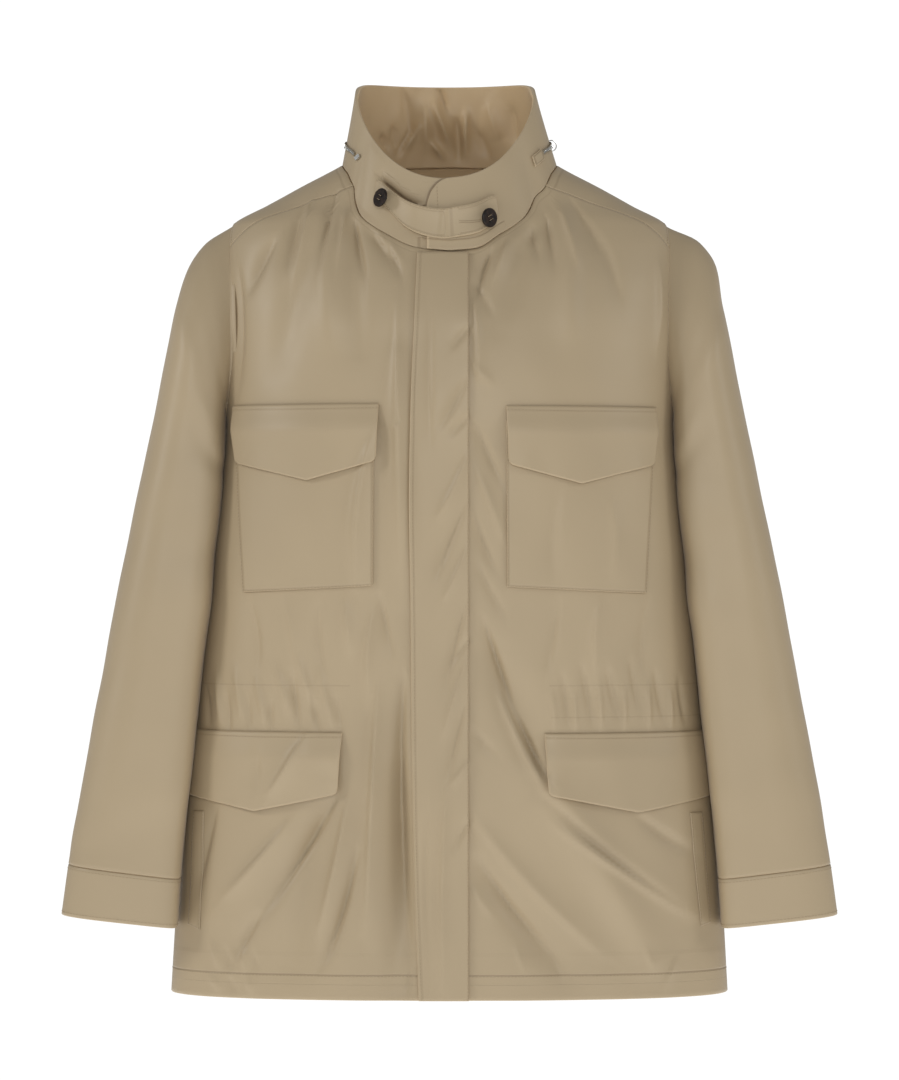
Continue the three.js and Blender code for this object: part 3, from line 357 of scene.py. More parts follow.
# Creases, with the small puckers along the placket and the hem: x and z of the start,
# of a point to bend round and of the end, width and rise.
CREASES = {FRONT: [
    (-161, -64, -174, -83, -189, -117, 7, -3), (-139, -36, -145, -64, -153, -95, 6, -2.5),
    (-128, -22, -135, -59, -147, -110, 7, 2), (-105, -11, -113, -50, -122, -92, 5, -3.2),
    (-97, -27, -98, -55, -104, -89, 5, 2.5), (-90, -41, -85, -69, -78, -104, 5, -3),
    (-80, -44, -72, -59, -54, -89, 5, -2.8), (-72, -52, -61, -69, -45, -89, 4, 1.8),
    (-61, -65, -52, -80, -43, -106, 4, -2), (-48, -124, -50, -217, -46, -366, 9, 2.2),
    (-72, -254, -91, -310, -87, -389, 8, 2.8), (-97, -403, -96, -426, -91, -454, 6, 1.5),
    (-65, -395, -59, -421, -52, -454, 6, -2), (-71, -414, -80, -449, -74, -500, 6, 1.8),
    (-42, -477, -50, -588, -35, -741, 10, -6.5), (-67, -486, -72, -588, -78, -709, 8, 4),
    (-106, -588, -135, -639, -174, -695, 9, -4.6), (-174, -695, -189, -714, -199, -737, 7, -2.5),
    (-95, -588, -104, -644, -122, -709, 7, 3.4), (-85, -635, -97, -700, -119, -744, 7, -4),
    (-148, -607, -174, -644, -212, -681, 8, 2.6), (-218, -599, -228, -639, -238, -686, 7, -1.5),
    (-134, -528, -147, -556, -167, -584, 7, 2.6), (-178, -537, -174, -559, -178, -579, 6, -1.2),
    (-199, -89, -193, -143, -197, -208, 7, -2), (48, -61, 33, -85, 26, -120, 5, -3),
    (61, -52, 50, -76, 41, -106, 5, 2.5), (72, -41, 78, -64, 84, -85, 5, -2.5),
    (88, -34, 95, -61, 98, -95, 5, -2.5), (98, -27, 110, -61, 121, -95, 6, 2),
    (116, -30, 132, -55, 143, -78, 6, -2), (139, -61, 152, -85, 160, -124, 7, -1.6),
    (22, -104, 30, -121, 41, -138, 4, -1.5), (22, -124, 28, -152, 26, -199, 5, 1.5),
    (22, -240, 35, -263, 50, -297, 5, -1.8), (24, -282, 37, -310, 49, -347, 5, 1.6),
    (22, -324, 32, -352, 46, -379, 5, -1.8), (24, -366, 37, -393, 53, -417, 5, -1.5),
    (32, -421, 46, -463, 60, -505, 6, -3.8), (60, -505, 74, -537, 91, -565, 6, -4.2),
    (44, -486, 63, -533, 88, -579, 6, 3.2), (89, -585, 139, -635, 215, -689, 8, -3),
    (98, -612, 158, -655, 225, -698, 9, 3.2), (26, -642, 58, -695, 104, -739, 8, -3.2),
    (22, -602, 65, -667, 143, -732, 9, 2.5), (174, -602, 199, -621, 226, -637, 6, -2.2),
    (195, -83, 199, -124, 193, -171, 7, 1.6), (148, -310, 156, -347, 150, -389, 8, 1.2),
    (102, -301, 91, -338, 98, -384, 8, -1.2), (186, -403, 176, -440, 182, -472, 8, -1.5),
    (139, -403, 130, -440, 137, -477, 8, 1.5), (102, -403, 95, -440, 91, -469, 7, -1.5),
    (-186, -403, -174, -440, -180, -469, 8, -1.5), (-153, -403, -143, -440, -139, -472, 8, 1.3),
    (-121, -403, -122, -440, -116, -469, 7, -1.5), (15, -200, 6, -222, -9, -245, 5, -1.6),
    (16, -268, 5, -301, -13, -328, 6, 1.8), (16, -310, 0, -352, -13, -384, 6, -2.2),
    (16, -352, 7, -379, -7, -403, 5, 1.6), (16, -403, 6, -440, -4, -486, 5, -1.8),
    (15, -458, 2, -495, -6, -528, 5, 1.5), (15, -495, 6, -533, -2, -570, 5, -1.6),
    (-4, -579, -9, -663, -6, -760, 6, 1.8), (-17, -124, -20, -199, -17, -263, 6, -1.2),
    (-20, -588, -24, -681, -19, -765, 5, -1.2), (20, -150, 12, -158, 2, -172, 4, -1.2),
    (20, -184, 28, -196, 40, -204, 4, 1), (20, -232, 11, -240, 0, -252, 4, -1.2),
    (20, -436, 12, -446, 2, -462, 4, -1.2), (20, -520, 30, -534, 44, -546, 5, -1.4),
    (20, -548, 11, -560, 0, -574, 4, 1), (20, -604, 12, -616, 4, -636, 4, -1.2),
    (20, -668, 28, -680, 40, -696, 5, 1.2), (-224, -722, -219, -735, -215, -748, 4, 0.9),
    (-210, -726, -206, -738, -203, -749, 4, -0.9), (-196, -722, -193, -736, -190, -749, 4, 0.8),
    (-184, -728, -181, -738, -178, -749, 4, -0.8), (-226, -754, -220, -760, -214, -768, 4, 0.8),
    (-208, -753, -203, -760, -198, -769, 4, -0.8), (-190, -753, -187, -761, -183, -770, 4, 0.8),
    (-30, -742, -36, -752, -40, -768, 4, -1.2), (60, -724, 66, -736, 70, -748, 4, 0.8),
    (96, -730, 100, -740, 104, -750, 4, -0.8), (180, -726, 186, -738, 190, -748, 4, 0.8),
    (212, -736, 206, -748, 200, -766, 4, 0.9),
], BACK: [
    (-150, -80, -160, -160, -150, -240, 10, -2.5), (150, -84, 156, -170, 148, -250, 10, 2),
    (-30, -110, -26, -220, -34, -330, 12, 1.8), (40, -120, 34, -240, 44, -360, 12, -1.8),
    (-130, -330, -90, -400, -120, -460, 11, 2.4), (130, -320, 96, -390, 126, -456, 11, -2.4),
    (-20, -400, 20, -430, 60, -440, 12, -0.8), (-150, -560, -160, -650, -150, -760, 12, -2.5),
    (150, -560, 156, -660, 144, -750, 12, 2.2), (-10, -620, 4, -690, -6, -765, 10, -2),
]}
# The drawn-in waist's gathers: x and z of the top and of the foot, width and rise.
GATHERS = {FRONT: [
    (-229, -484, -224, -522, 3.5, -2), (-218, -470, -214, -520, 4, 2.2),
    (-208, -488, -205, -524, 3, -2.2), (-200, -466, -193, -512, 4.5, 2.4),
    (-188, -490, -186, -524, 3, -2), (-180, -474, -171, -518, 4, 2.6), (-166, -494, -166, -524, 3, -2.2),
    (-162, -462, -148, -508, 4.5, 2.6), (-146, -470, -139, -522, 3.5, -3),
    (-140, -456, -126, -500, 4.5, 3), (-128, -488, -121, -524, 3.5, -2.8),
    (-120, -468, -108, -520, 4, 2.6), (-105, -490, -99, -523, 3.5, -1.8), (94, -486, 98, -522, 3.5, 1.8),
    (104, -470, 110, -518, 4, -2.4), (116, -490, 117, -524, 3, 2.2), (122, -462, 132, -516, 4.5, -2.8),
    (138, -478, 141, -524, 3.5, 2.6), (146, -466, 156, -512, 4.5, -2.6), (162, -484, 163, -524, 3, 2.4),
    (168, -458, 177, -506, 4.5, -2.4), (184, -480, 186, -522, 3.5, 2.4), (191, -468, 200, -514, 4, -2.4),
    (206, -488, 207, -524, 3, 2), (214, -474, 220, -518, 3.5, -2),
], BACK: [
    (-172, -462, -164, -526, 6, -1.3), (-151, -488, -155, -524, 5, 1), (-131, -456, -122, -520, 7, -1.6),
    (-102, -478, -103, -534, 6, 1.3), (-88, -466, -91, -508, 5, -1), (-57, -486, -55, -536, 6, 1.6),
    (-39, -458, -33, -520, 7, -1.3), (-8, -482, -15, -528, 6, 1.1), (14, -462, 17, -510, 6, -1.6),
    (41, -490, 38, -530, 5, 1.1), (54, -452, 61, -522, 7, -1.4), (86, -480, 83, -526, 6, 1.2),
    (101, -468, 107, -514, 6, -1.5), (133, -488, 130, -536, 6, 1.1), (154, -460, 160, -524, 6, -1.4),
]}


# Each table's rise is drawn this many times as high, so that the light catches it.
FOLD_RISE, CREASE_RISE, GATHER_RISE = 1.35, 2.2, 1.25


def neck_height(turn):
    """Height of the neck seam by turn. At the wearer's left the lap pulls it up a little."""
    pull = np.where(turn > 0, smooth(4, 13, turn) * (1 - smooth(26, 36.3, turn)), 0)
    return neck_curve(np.abs(turn) + 3.4 * pull)


def oval(sine, cosine, power=SQUARE):
    """Radius factor of an oval with slightly square corners."""
    return (np.abs(sine) ** power + np.abs(cosine) ** power) ** (-1 / power)


def plain_body(turn, z):
    """Body surface without folds: degrees from the centre front towards +X, and height."""
    s, c = np.sin(np.radians(turn)), np.cos(np.radians(turn))
    r = oval(s, c)
    depth = np.where(c >= 0, body_front(z), body_back(z))
    return np.stack(np.broadcast_arrays(body_half(z) * s * r, -depth * c * r, z), -1)


def plain_normal(turn, z):
    across = plain_body(turn + 0.3, z) - plain_body(turn - 0.3, z)
    up = plain_body(turn, z + 0.6) - plain_body(turn, z - 0.6)
    return unit(np.cross(across, up))


def line_away(x, z, x1, z1, x2, z2):
    """Share along a straight line and distance from it."""
    dx, dz = x2 - x1, z2 - z1
    along = np.clip(((x - x1) * dx + (z - z1) * dz) / (dx * dx + dz * dz), 0, 1)
    return along, np.hypot(x - x1 - along * dx, z - z1 - along * dz)


def relief(x, y, z):
    """Folds, gathers, creases and a slow unevenness, as a move along the surface's normal."""
    side = np.where(y < 0, -1, 1)
    depth = np.where(y < 0, body_front(z), body_back(z))
    turn = np.degrees(np.arctan2(np.abs(x) / body_half(z), -y / depth))
    edge = smooth(0, 18, np.abs(y)) * smooth(-1, 13, neck_curve(turn) - z)
    rise = np.zeros(x.shape)
    for seen in (FRONT, BACK):
        for x1, z1, x2, z2, wide, high in FOLDS[seen]:
            along, away = line_away(x, z, x1, z1, x2, z2)
            level = FOLD_RISE * high * np.sin(np.pi * (0.12 + 0.76 * along))
            rise += (side == seen) * level * np.exp(-(away / wide) ** 2)
    for seen, row in [(seen, row) for seen in (FRONT, BACK) for row in CREASES[seen]]:
        x1, z1, xm, zm, x2, z2, wide, high = row
        near = (side == seen) & (np.abs(z - (z1 + z2) / 2) < abs(z1 - z2) / 2 + 3 * wide)
        px, pz = x[near], z[near]
        if not len(px):
            continue
        best = np.full(px.shape, 1e9)
        where, steep = np.zeros(px.shape), np.zeros(px.shape)
        t = np.linspace(0, 1, 9)
        lx = x1 * (1 - t) ** 2 + 2 * xm * t * (1 - t) + x2 * t * t
        lz = z1 * (1 - t) ** 2 + 2 * zm * t * (1 - t) + z2 * t * t
        for k in range(8):
            along, away = line_away(px, pz, lx[k], lz[k], lx[k + 1], lz[k + 1])
            nearer = away < best
            best = np.where(nearer, away, best)
            where = np.where(nearer, (k + along) / 8, where)
            across = (px - lx[k]) * (lz[k + 1] - lz[k]) - (pz - lz[k]) * (lx[k + 1] - lx[k])
            steep = np.where(nearer, np.sign(across) * np.sign(high), steep)
        own = wide * (0.62 + 0.5 * where) * np.where(steep > 0, 0.5, 1.3)
        level = CREASE_RISE * high * np.sin(np.pi * (0.06 + 0.88 * where))
        rise[near] += level * np.exp(-(best / own) ** 1.25)
    for seen, row in [(seen, row) for seen in (FRONT, BACK) for row in GATHERS[seen]]:
        x1, z1, x2, z2, wide, high = row
        near = (side == seen) & (np.abs(z + 494) < 60) & (np.abs(x - (x1 + x2) / 2) < 30)
        if near.any():
            along, away = line_away(x[near], z[near], x1, z1, x2, z2)
            level = GATHER_RISE * high * np.sin(np.pi * (0.04 + 0.92 * along)) ** 0.8
            rise[near] += level * np.exp(-(away / (0.8 * wide)) ** 1.6)
    slow = 0.9 * wave(x / 31 + z / 57, 1.0) * wave(z / 44 - x / 90, 2.0) + 0.35 * wave(x / 13 + z / 29, 4.0)
    return (rise + slow) * edge


def body(turn, z, lift=0.0):
    """Body surface with its folds, moved outward by a lift, and the plain surface's normals."""
    p = plain_body(turn, z)
    n = plain_normal(turn, z)
    return p + n * (relief(p[..., 0], p[..., 1], p[..., 2]) + lift)[..., None], n


# The armhole is an oval in turn and height, with its middle, half height and half width.
HOLE_Z, HOLE_TALL, HOLE_WIDE, HOLE_POWER = -144.5, 95.5, 24, 0.75


def armhole_turn(z):
    """Turn of the armhole's front edge at a height; the back edge mirrors it."""
    c = np.clip((z - HOLE_Z) / HOLE_TALL, -1, 1)
    return 90 - HOLE_WIDE * np.sqrt(1 - c * c) ** HOLE_POWER


def armhole(angle, inside=0.0):
    """A place on the armhole or millimetres inside it: angle from its top towards the front."""
    s, c = np.sin(np.radians(angle)), np.cos(np.radians(angle))
    turn = 90 - (HOLE_WIDE - inside / 2.007) * np.sign(s) * np.abs(s) ** HOLE_POWER
    return turn, HOLE_Z + (HOLE_TALL - inside) * c


def turn_at(x, z):
    """Turn of the body's front surface at a place seen from the front."""
    q = np.minimum(0.9995, np.abs(x) / body_half(z)) ** SQUARE
    return np.degrees(np.sign(x) * np.arctan((q / (1 - q)) ** (1 / SQUARE)))


def even(start, end, step, edge=0.8):
    """Even places from start to end, with one more just inside each end for a turned edge."""
    count = max(2, int(round(abs(end - start) / step)))
    places = np.linspace(start, end, count + 1)
    inset = np.sign(end - start) * edge
    return np.concatenate([places[:1], [start + inset], places[1:-1], [end - inset], places[-1:]])


# The yoke's front seam runs from this turn at the neck to this angle of the armhole.
YOKE_NECK, YOKE_ARM = 36.3, 40.2
SEAM_TURN_END, SEAM_Z_END = armhole(YOKE_ARM)


def front_rise(turn, side):
    """How far the front's top edge lies above its end at the armhole."""
    seam = blend(neck_height(YOKE_NECK), SEAM_Z_END, (turn - YOKE_NECK) / (SEAM_TURN_END - YOKE_NECK))
    return np.where(turn <= YOKE_NECK, neck_height(side * turn), seam) - SEAM_Z_END


# Columns lie evenly round the girth. One more is tucked under the back at the side seam.
CENTRE_TURN, SIDE_TURN, TUCK_TURN, TUCK_DEEP = 0.09, 89.89, 1.3, 1.9
HEM_LINE, WAIST_LINE, LOW_WAIST_LINE = HEM_Z + 23.5, -481.5, -511
fine_turn = np.linspace(0, 89.9, 400)
girth = plain_body(fine_turn, -450.0)
run_length = np.concatenate([[0], np.cumsum(np.linalg.norm(np.diff(girth, axis=0), axis=1))])
front_share = np.interp(even(0, run_length[-1], 1.75), run_length, fine_turn / 89.9)
for side_name, side in (("right", -1), ("left", 1)):
    level = even(HEM_Z, SEAM_Z_END, 3.7)[:, None]
    share_across = front_share[None, :]
    out = np.where(level > PIT_Z, np.minimum(armhole_turn(level), SIDE_TURN), SIDE_TURN)
    turn = blend(CENTRE_TURN, out, share_across)
    own = share_across * SEAM_TURN_END
    height = level + smooth(-190, SEAM_Z_END, level) * front_rise(own, side)
    turn = np.hstack([turn, out + TUCK_TURN])
    height = np.hstack([height, height[:, -1:]])
    own = np.hstack([own, own[:, -1:]])
    outer, normals = body(side * turn, height)
    outer[:, -1] -= TUCK_DEEP * normals[:, -1]
    hem, waist, low_waist = height - HEM_LINE, height - WAIST_LINE, height - LOW_WAIST_LINE
    x = outer[..., 0] * side
    on_waist = (x > 92) & (x < 238)
    seam = np.where(np.abs(hem) < 12, hem, NO_SEAM)
    seam = np.where((np.abs(waist) < 12) & on_waist, waist, seam)
    seam = np.where((np.abs(low_waist) < 12) & on_waist & (side > 0), low_waist, seam)
    neck_line = neck_height(side * own) - height - 5.0
    seam = np.where((own < 37) & (np.abs(neck_line) < 10), neck_line, seam)
    pressed = np.where(hem < 20, 0.8, 0.26)
    cloth(f"front_{side_name}", (0.33, 0.76), 0.203, outer, normals, PLY, flip=side < 0, fields=seam,
          pressed=pressed, free=(1, 0, 0, 0))
    row = int(np.argmin(np.abs(level[:, 0] - HEM_LINE)))
    sew(f"hem_stitches_{side_name}", [(outer[row], normals[row])])

# The back is one panel of the same cloth between the side seams, cut up to the armholes and to
# the back yoke seam. Its hem is turned up and sewn in line with the fronts' hems.
BACK_Z = float(armhole(-58.8)[1])
level = even(HEM_Z, BACK_Z, 3.6)[:, None]
share_across = even(0, 560, 4.0)[None, :] / 560
BACK_SIDE_TURN = 180 - SIDE_TURN
out = np.where(level > PIT_Z, np.maximum(180 - armhole_turn(level), BACK_SIDE_TURN), BACK_SIDE_TURN)
turn = blend(out, 360 - out, share_across)
outer, normals = body(turn, level + 0 * turn)
hem = outer[..., 2] - HEM_LINE
seam = np.where(np.abs(hem) < 12, hem, NO_SEAM)
cloth("back", (0.6, 0.72), 0.376, outer, normals, PLY, fields=seam, free=(1, 0, 0, 0))
row = int(np.argmin(np.abs(level[:, 0] - HEM_LINE)))
sew("hem_stitches_back", [(outer[row], normals[row])])

# The yoke is one horseshoe of the same cloth over both shoulders and round the back of the neck.
# It is sewn to the fronts, the armholes and the back, with a row of stitches along its own edge.
neck_turns = (YOKE_NECK, 47, 60, 74, 90, 112, 135, 157, 162.75, 168.5, 174, 180)
on_armhole = [armhole(angle) for angle in (YOKE_ARM, 27, 13, 0, -15, -30, -45, -58.8)]
outer_turns = [float(turn) for turn, z in on_armhole] + [131, 147, 163, 180]
outer_z = [float(z) for turn, z in on_armhole] + [BACK_Z] * 4
place = np.arange(12.0)
fine = np.concatenate([[0, 0.05], np.linspace(0, 11, 120)[1:]])
half_neck = curve(*zip(place, neck_turns))(fine)
half_turn = np.interp(fine, place, outer_turns)
half_z = np.interp(fine, place, outer_z)
inner_turn = np.concatenate([half_neck, 360 - half_neck[-2::-1]])[None, :]
outer_turn = np.concatenate([half_turn, 360 - half_turn[-2::-1]])[None, :]
outer_height = np.concatenate([half_z, half_z[-2::-1]])[None, :]
share_out = even(0, 105, 3.0)[:, None] / 105
turn = blend(inner_turn, outer_turn, share_out)
inner_height = neck_height(np.where(inner_turn > 180, 360 - inner_turn, inner_turn))
column = np.arange(turn.shape[1])
from_end = np.minimum(column, column[::-1]) / 8.0
SEAM_GAP = 0.4
front_gap = SEAM_GAP * (1 - smooth(0, 0.6, from_end))[None, :]
back_gap = SEAM_GAP * share_out * (outer_height == BACK_Z)
height = blend(inner_height, outer_height, share_out) + front_gap + back_gap
outer, normals = body(turn, height)
across_yoke = share_out * 95 - 5 + 0 * turn
cloth("yoke", (0.44, 0.22), 0.068, outer, normals, PLY, flip=True, fields=across_yoke, pressed=0.45,
      free=(0, 0, 0, 0))
sew("yoke_stitches", [(outer[-4], normals[-4])])

# Two sleeves of the same cloth, set into the armholes and bent a little forward at the elbow.
# Each ends in a plain cuff, a doubled band that is sewn on all round with a row at each edge.
SLEEVE_T = (0, 0.04, 0.09, 0.15, 0.22, 0.3, 0.4, 0.52, 0.64, 0.76, 0.88, 1, 1.085)
OUT_X = (206, 232, 248, 258, 266, 275, 287.5, 304, 319.5, 334, 348, 358, 364.5)
OUT_Z = (-49, -66, -90, -122, -160, -208, -270, -350, -430, -510, -590, -651, -698)
IN_X = (214, 212, 211, 211, 211, 212, 214, 221, 229, 237, 246, 252, 255)
IN_Z = (-240, -243, -248, -255, -266, -283, -310, -370, -442, -519, -598, -664, -710)
HALF_DEEP = (50, 58, 62, 64, 65, 64, 62, 59, 55, 50, 44, 38, 34)
MIDDLE_Y = (0, 0, -1, -2, -4, -7, -12, -19, -26, -33, -39, -42, -43)
sleeve_out_x, sleeve_out_z, sleeve_in_x, sleeve_in_z, sleeve_deep, sleeve_mid = (
    curve(*zip(SLEEVE_T, column)) for column in (OUT_X, OUT_Z, IN_X, IN_Z, HALF_DEEP, MIDDLE_Y))
SLEEVE_LONG, CUFF_LONG, CUFF_THICK, WRIST = 650, 47, 2.2, SLEEVE_T[-1]
# Folds across a sleeve: station, angle, length in degrees, width in stations, rise.
SLEEVE_FOLDS = [(0.16, 60, 34, 0.035, 2), (0.3, 140, 40, 0.04, -3), (0.5, 115, 44, 0.045, -3),
                (0.58, 150, 40, 0.04, 3), (0.7, 60, 46, 0.05, -2.5), (0.86, 120, 40, 0.04, 2.5),
                (0.62, -100, 46, 0.045, -3), (0.4, -70, 46, 0.045, 3)]


def body_side(y, z):
    """How far out the body's side lies, by depth and height."""
    depth = np.where(y < 0, body_front(z), body_back(z))
    q = np.minimum(1, np.abs(y) / depth) ** SQUARE
    return body_half(z) * (1 - q) ** (1 / SQUARE)


def sleeve_point(side, angle, t):
    """Sleeve surface: angle from the shoulder towards the front, station from armhole to wrist."""
    s, c = np.sin(np.radians(angle)), np.cos(np.radians(angle))
    flat = smooth(0, 0.3, s) * smooth(0.03, 0.2, t)
    r = oval(s, c, 2.15 + (0.5 + 2.6 * smooth(0.3, -0.4, c)) * flat)
    out_x, out_z, in_x, in_z = sleeve_out_x(t), sleeve_out_z(t), sleeve_in_x(t), sleeve_in_z(t)
    deep, mid = sleeve_deep(t), sleeve_mid(t)
    half_x, half_z = (out_x - in_x) / 2, (out_z - in_z) / 2
    p = np.stack(np.broadcast_arrays((out_x + in_x) / 2 + half_x * c * r, mid - deep * s * r,
                                     (out_z + in_z) / 2 + half_z * c * r), -1)
    start_turn, start_z = armhole(angle, 0.4)
    seam = body(start_turn, start_z)[0]
    first = np.stack(np.broadcast_arrays(210 - 4 * c, -50 * s * r, HOLE_Z + HOLE_TALL * c * r), -1)
    p = p + (seam - first) * ((1 - smooth(0, 0.2, t)) * (t < 0.2))[..., None]
    out = unit(np.stack(np.broadcast_arrays(half_x * c, -deep * s, half_z * c), -1))
    rise = 0
    for at, middle, turn, wide, high in SLEEVE_FOLDS:
        apart = np.abs(angle - middle)
        apart = np.minimum(apart, 360 - apart)
        rise = rise + high * np.exp(-(apart / turn) ** 2 - ((t - at) / wide) ** 2)
    rise = rise * (0.7 if side < 0 else 0.6) * smooth(0, 0.12, t)
    loose = smooth(0.02, 0.14, t) * (1 - smooth(0.96, 1.0, t))
    slow = 1.1 * wave(t * 15 + np.radians(angle), 3.0 + side) * wave(s * 2.2 + t * 6, 5.0 - side)
    rise = rise + loose * 0.7 * (slow + 0.5 * wave(t * 38 - c * 2.5, 1.0 + side))
    p = p + out * rise[..., None]
    clear = blend(4.6, 0.3 * smooth(0, 0.1, t), smooth(-530, -480, p[..., 2]))
    limit = np.where(t > 0.002, body_side(p[..., 1], p[..., 2]) + clear, -1e9)
    x = np.maximum(p[..., 0], limit)
    if side > 0:
        x = x + 7 * np.maximum(0, c) * smooth(0, 0.03, t) * (1 - smooth(0.06, 0.16, t))
    return np.stack([x * side, p[..., 1], p[..., 2]], -1)


def sleeve_normal(side, angle, t):
    t = np.maximum(t, 0.006)
    across = sleeve_point(side, angle + 0.8, t) - sleeve_point(side, angle - 0.8, t)
    along = sleeve_point(side, angle, t + 0.004) - sleeve_point(side, angle, t - 0.004)
    return unit(np.cross(across, along)) * side


for side_name, side in (("right", -1), ("left", 1)):
    angles = np.linspace(180, -180, 129)[:-1][None, :]
    stations = (even(0, SLEEVE_LONG, 4.0) / SLEEVE_LONG * 0.9993)[:, None]
    stations, angles = np.broadcast_arrays(stations, angles)
    outer = sleeve_point(side, angles, stations)
    normals = sleeve_normal(side, angles, stations)
    under = []
    for wider, deep in ((5.0, 2.1), (1.2, 1.9)):
        turn, height = armhole(angles[:1], -wider)
        point, facing = body(turn, height)
        point = (point - facing * deep) * (side, 1, 1)
        under.append((point, facing * (side, 1, 1)))
    outer = np.concatenate([under[0][0], under[1][0], outer])
    normals = np.concatenate([under[0][1], under[1][1], normals])
    cloth(f"sleeve_{side_name}", (0.48, 0.64), 0.163, outer, normals, PLY, ring=True, flip=side > 0,
          free=(0, 0, 0, 0))
    angles = np.linspace(180, -180, 97)[:-1][None, :]
    stations = (1 + even(0, CUFF_LONG, 3.4) / CUFF_LONG * (WRIST - 1))[:, None]
    stations, angles = np.broadcast_arrays(stations, angles)
    outer = sleeve_point(side, angles, stations)
    around = sleeve_normal(side, angles, stations)
    cloth(f"cuff_{side_name}", (0.28, 0.047), 0.0131, outer, around, CUFF_THICK, ring=True,
          flip=side > 0, free=(0, 1, 0, 0))
    sew(f"cuff_stitches_{side_name}", [(outer[2], around[2]), (outer[-3], around[-3])])

# The funnel collar is one strip of the same cloth that laps over its own start at the front. It
# is sewn on round the neck, and its back half is thick with the stowed hood, so the inside of
# that half is wrinkled. Places on it are a run in degrees from the start and a share of its height.
COLLAR_TALL = 70


def collar_turn_of(run):
    """Turn from the centre front at a run round the collar."""
    return np.where(run > 180, 360 - run, -run)


def lap_of(run):
    """How far the lap stands off the collar's start."""
    return 3 * smooth(338, 350, run)


def collar_point(run, up, lift=0.0):
    """Collar surface: degrees round from the lap's start, share of the height, move outward."""
    turn = collar_turn_of(run)
    foot = plain_body(turn, neck_height(turn) + 0.4)
    around = np.arctan2(foot[..., 0] / 101, -foot[..., 1] / 87)
    s, plain_c = np.sin(around), np.cos(around)
    r = oval(s, plain_c, 2.2)
    c = plain_c * r
    forward = np.maximum(c, 0) ** 1.4
    height = np.where(c > 0, 78 - 87 * forward, 78 + 13 * (1 - (1 + np.minimum(c, 0)) ** 3))
    top = np.stack([-4 + 85.5 * s * r, -np.where(c > 0, 72, 75) * c, height], -1)
    up = np.broadcast_to(up, turn.shape)[..., None]
    out = unit(np.stack([foot[..., 0] / 101, foot[..., 1] / 87, np.full(turn.shape, 0.12)], -1))
    fold = relief(foot[..., 0], foot[..., 1], foot[..., 2]) * (1 - smooth(0, 0.3, up[..., 0]))
    sway = plain_normal(turn, neck_height(turn)) * fold[..., None]
    return foot + sway + (top - foot) * up + out * (lap_of(run) + lift)[..., None]


def collar_normal(run, up):
    across = collar_point(run + 0.5, up) - collar_point(run - 0.5, up)
    rising = collar_point(run, up + 0.02) - collar_point(run, up - 0.02)
    return -unit(np.cross(across, rising))


tab_foot = curve((-20, 0.4), (-16, 0.34), (-10.5, 0.22), (-3, 0.15), (3, 0.17), (12.5, 0.21))
tab_top = curve((-20, 0.64), (-16, 0.62), (-10.5, 0.58), (-3, 0.55), (3, 0.58), (12.5, 0.6))
# The stowed hood's wrinkles inside the back: both ends, width, and rise into the neck.
HOOD_WRINKLES = [
    (-10, 90, -4, 70, 3, -2.2), (-16, 76, 0, 38, 6, 3.2), (7, 60, 9, 24, 3, -2.6),
    (17, 70, 16, 28, 5, 2), (-52, 26, -37, 52, 3, -2.4), (-47, 30, -30, 58, 5, 2.4),
    (-56, 52, -54, 33, 4, -2), (-68, 44, -62, 30, 4, -1.8), (-46, 88, -38, 44, 5, -1.6),
    (-26, 74, -24, 36, 8, 2.2), (-20, 40, -6, 24, 4, 1.8), (40, 76, 52, 40, 10, 1.8),
    (62, 70, 66, 36, 6, -1.6), (28, 50, 40, 24, 6, -1.4),
]


def collar_relief(run, up):
    """Soft folds in the collar's outer face, and the dent above the throat tab."""
    turn = collar_turn_of(run)
    above = (up - tab_top(turn)) * COLLAR_TALL
    dent = np.exp(-np.abs(above - 2.0) / np.where(above < 2.0, 2.0, 4.5)) * smooth(-21, -18, turn)
    dent = dent * (1 - smooth(-8, -5.8, turn))
    side = smooth(13, 20, np.abs(turn)) * (1 - smooth(26, 33, np.abs(turn)))
    folds = wave(turn / 5.5 + up * 2.2, 3.0) * 0.8 + wave(turn / 11 - up * 3.0, 1.0) * 0.8
    level = smooth(0.0, 0.12, up) * (1 - smooth(0.86, 1.0, up))
    return level * (-6.0 * dent + side * folds) * (run > -4) * (run < 364)


run = even(-6.5, 365.5, 1.5, 0.4)
run = np.concatenate([run[:-2], [364.4, 364.8, 365.1, 365.3, 365.42, 365.5]])[None, :]
up = even(0, 86, 1.7)[:, None] / 86
run, up = np.broadcast_arrays(run, up)
corner = 0.5 + 0.5 * np.sqrt(1 - np.clip((run - 358.5) / 7, 0, 1) ** 2)
up = up * corner
at_back = smooth(50, 80, run) * (1 - smooth(280, 310, run))
up = up - (0.007 + 0.009 * at_back) * (1 - smooth(0, 0.05, up))
outer = collar_point(run, up)
x, z = outer[..., 0], outer[..., 2]
hood = smooth(60, 100, run) * (1 - smooth(260, 300, run))
stowed = 2 * (1 + 1.6 * hood)
THINNEST = 1.4
wrinkle = np.zeros(x.shape)
for x1, z1, x2, z2, wide, high in HOOD_WRINKLES:
    along, away = line_away(x, z, x1, z1, x2, z2)
    wrinkle += 4.1 * high * np.sin(np.pi * (0.1 + 0.8 * along)) * np.exp(-(away / (0.8 * wide)) ** 1.25)
wrinkle += 0.8 * wave(x / 9 + z / 31, 2.0) + 0.5 * wave(x / 5 - z / 11, 5.0)
stowed = THINNEST + np.logaddexp(0, 2 * (stowed - THINNEST + hood * wrinkle)) / 2
facing = collar_normal(run, up)
outer = outer + collar_relief(run, up)[..., None] * facing
turn = collar_turn_of(run)
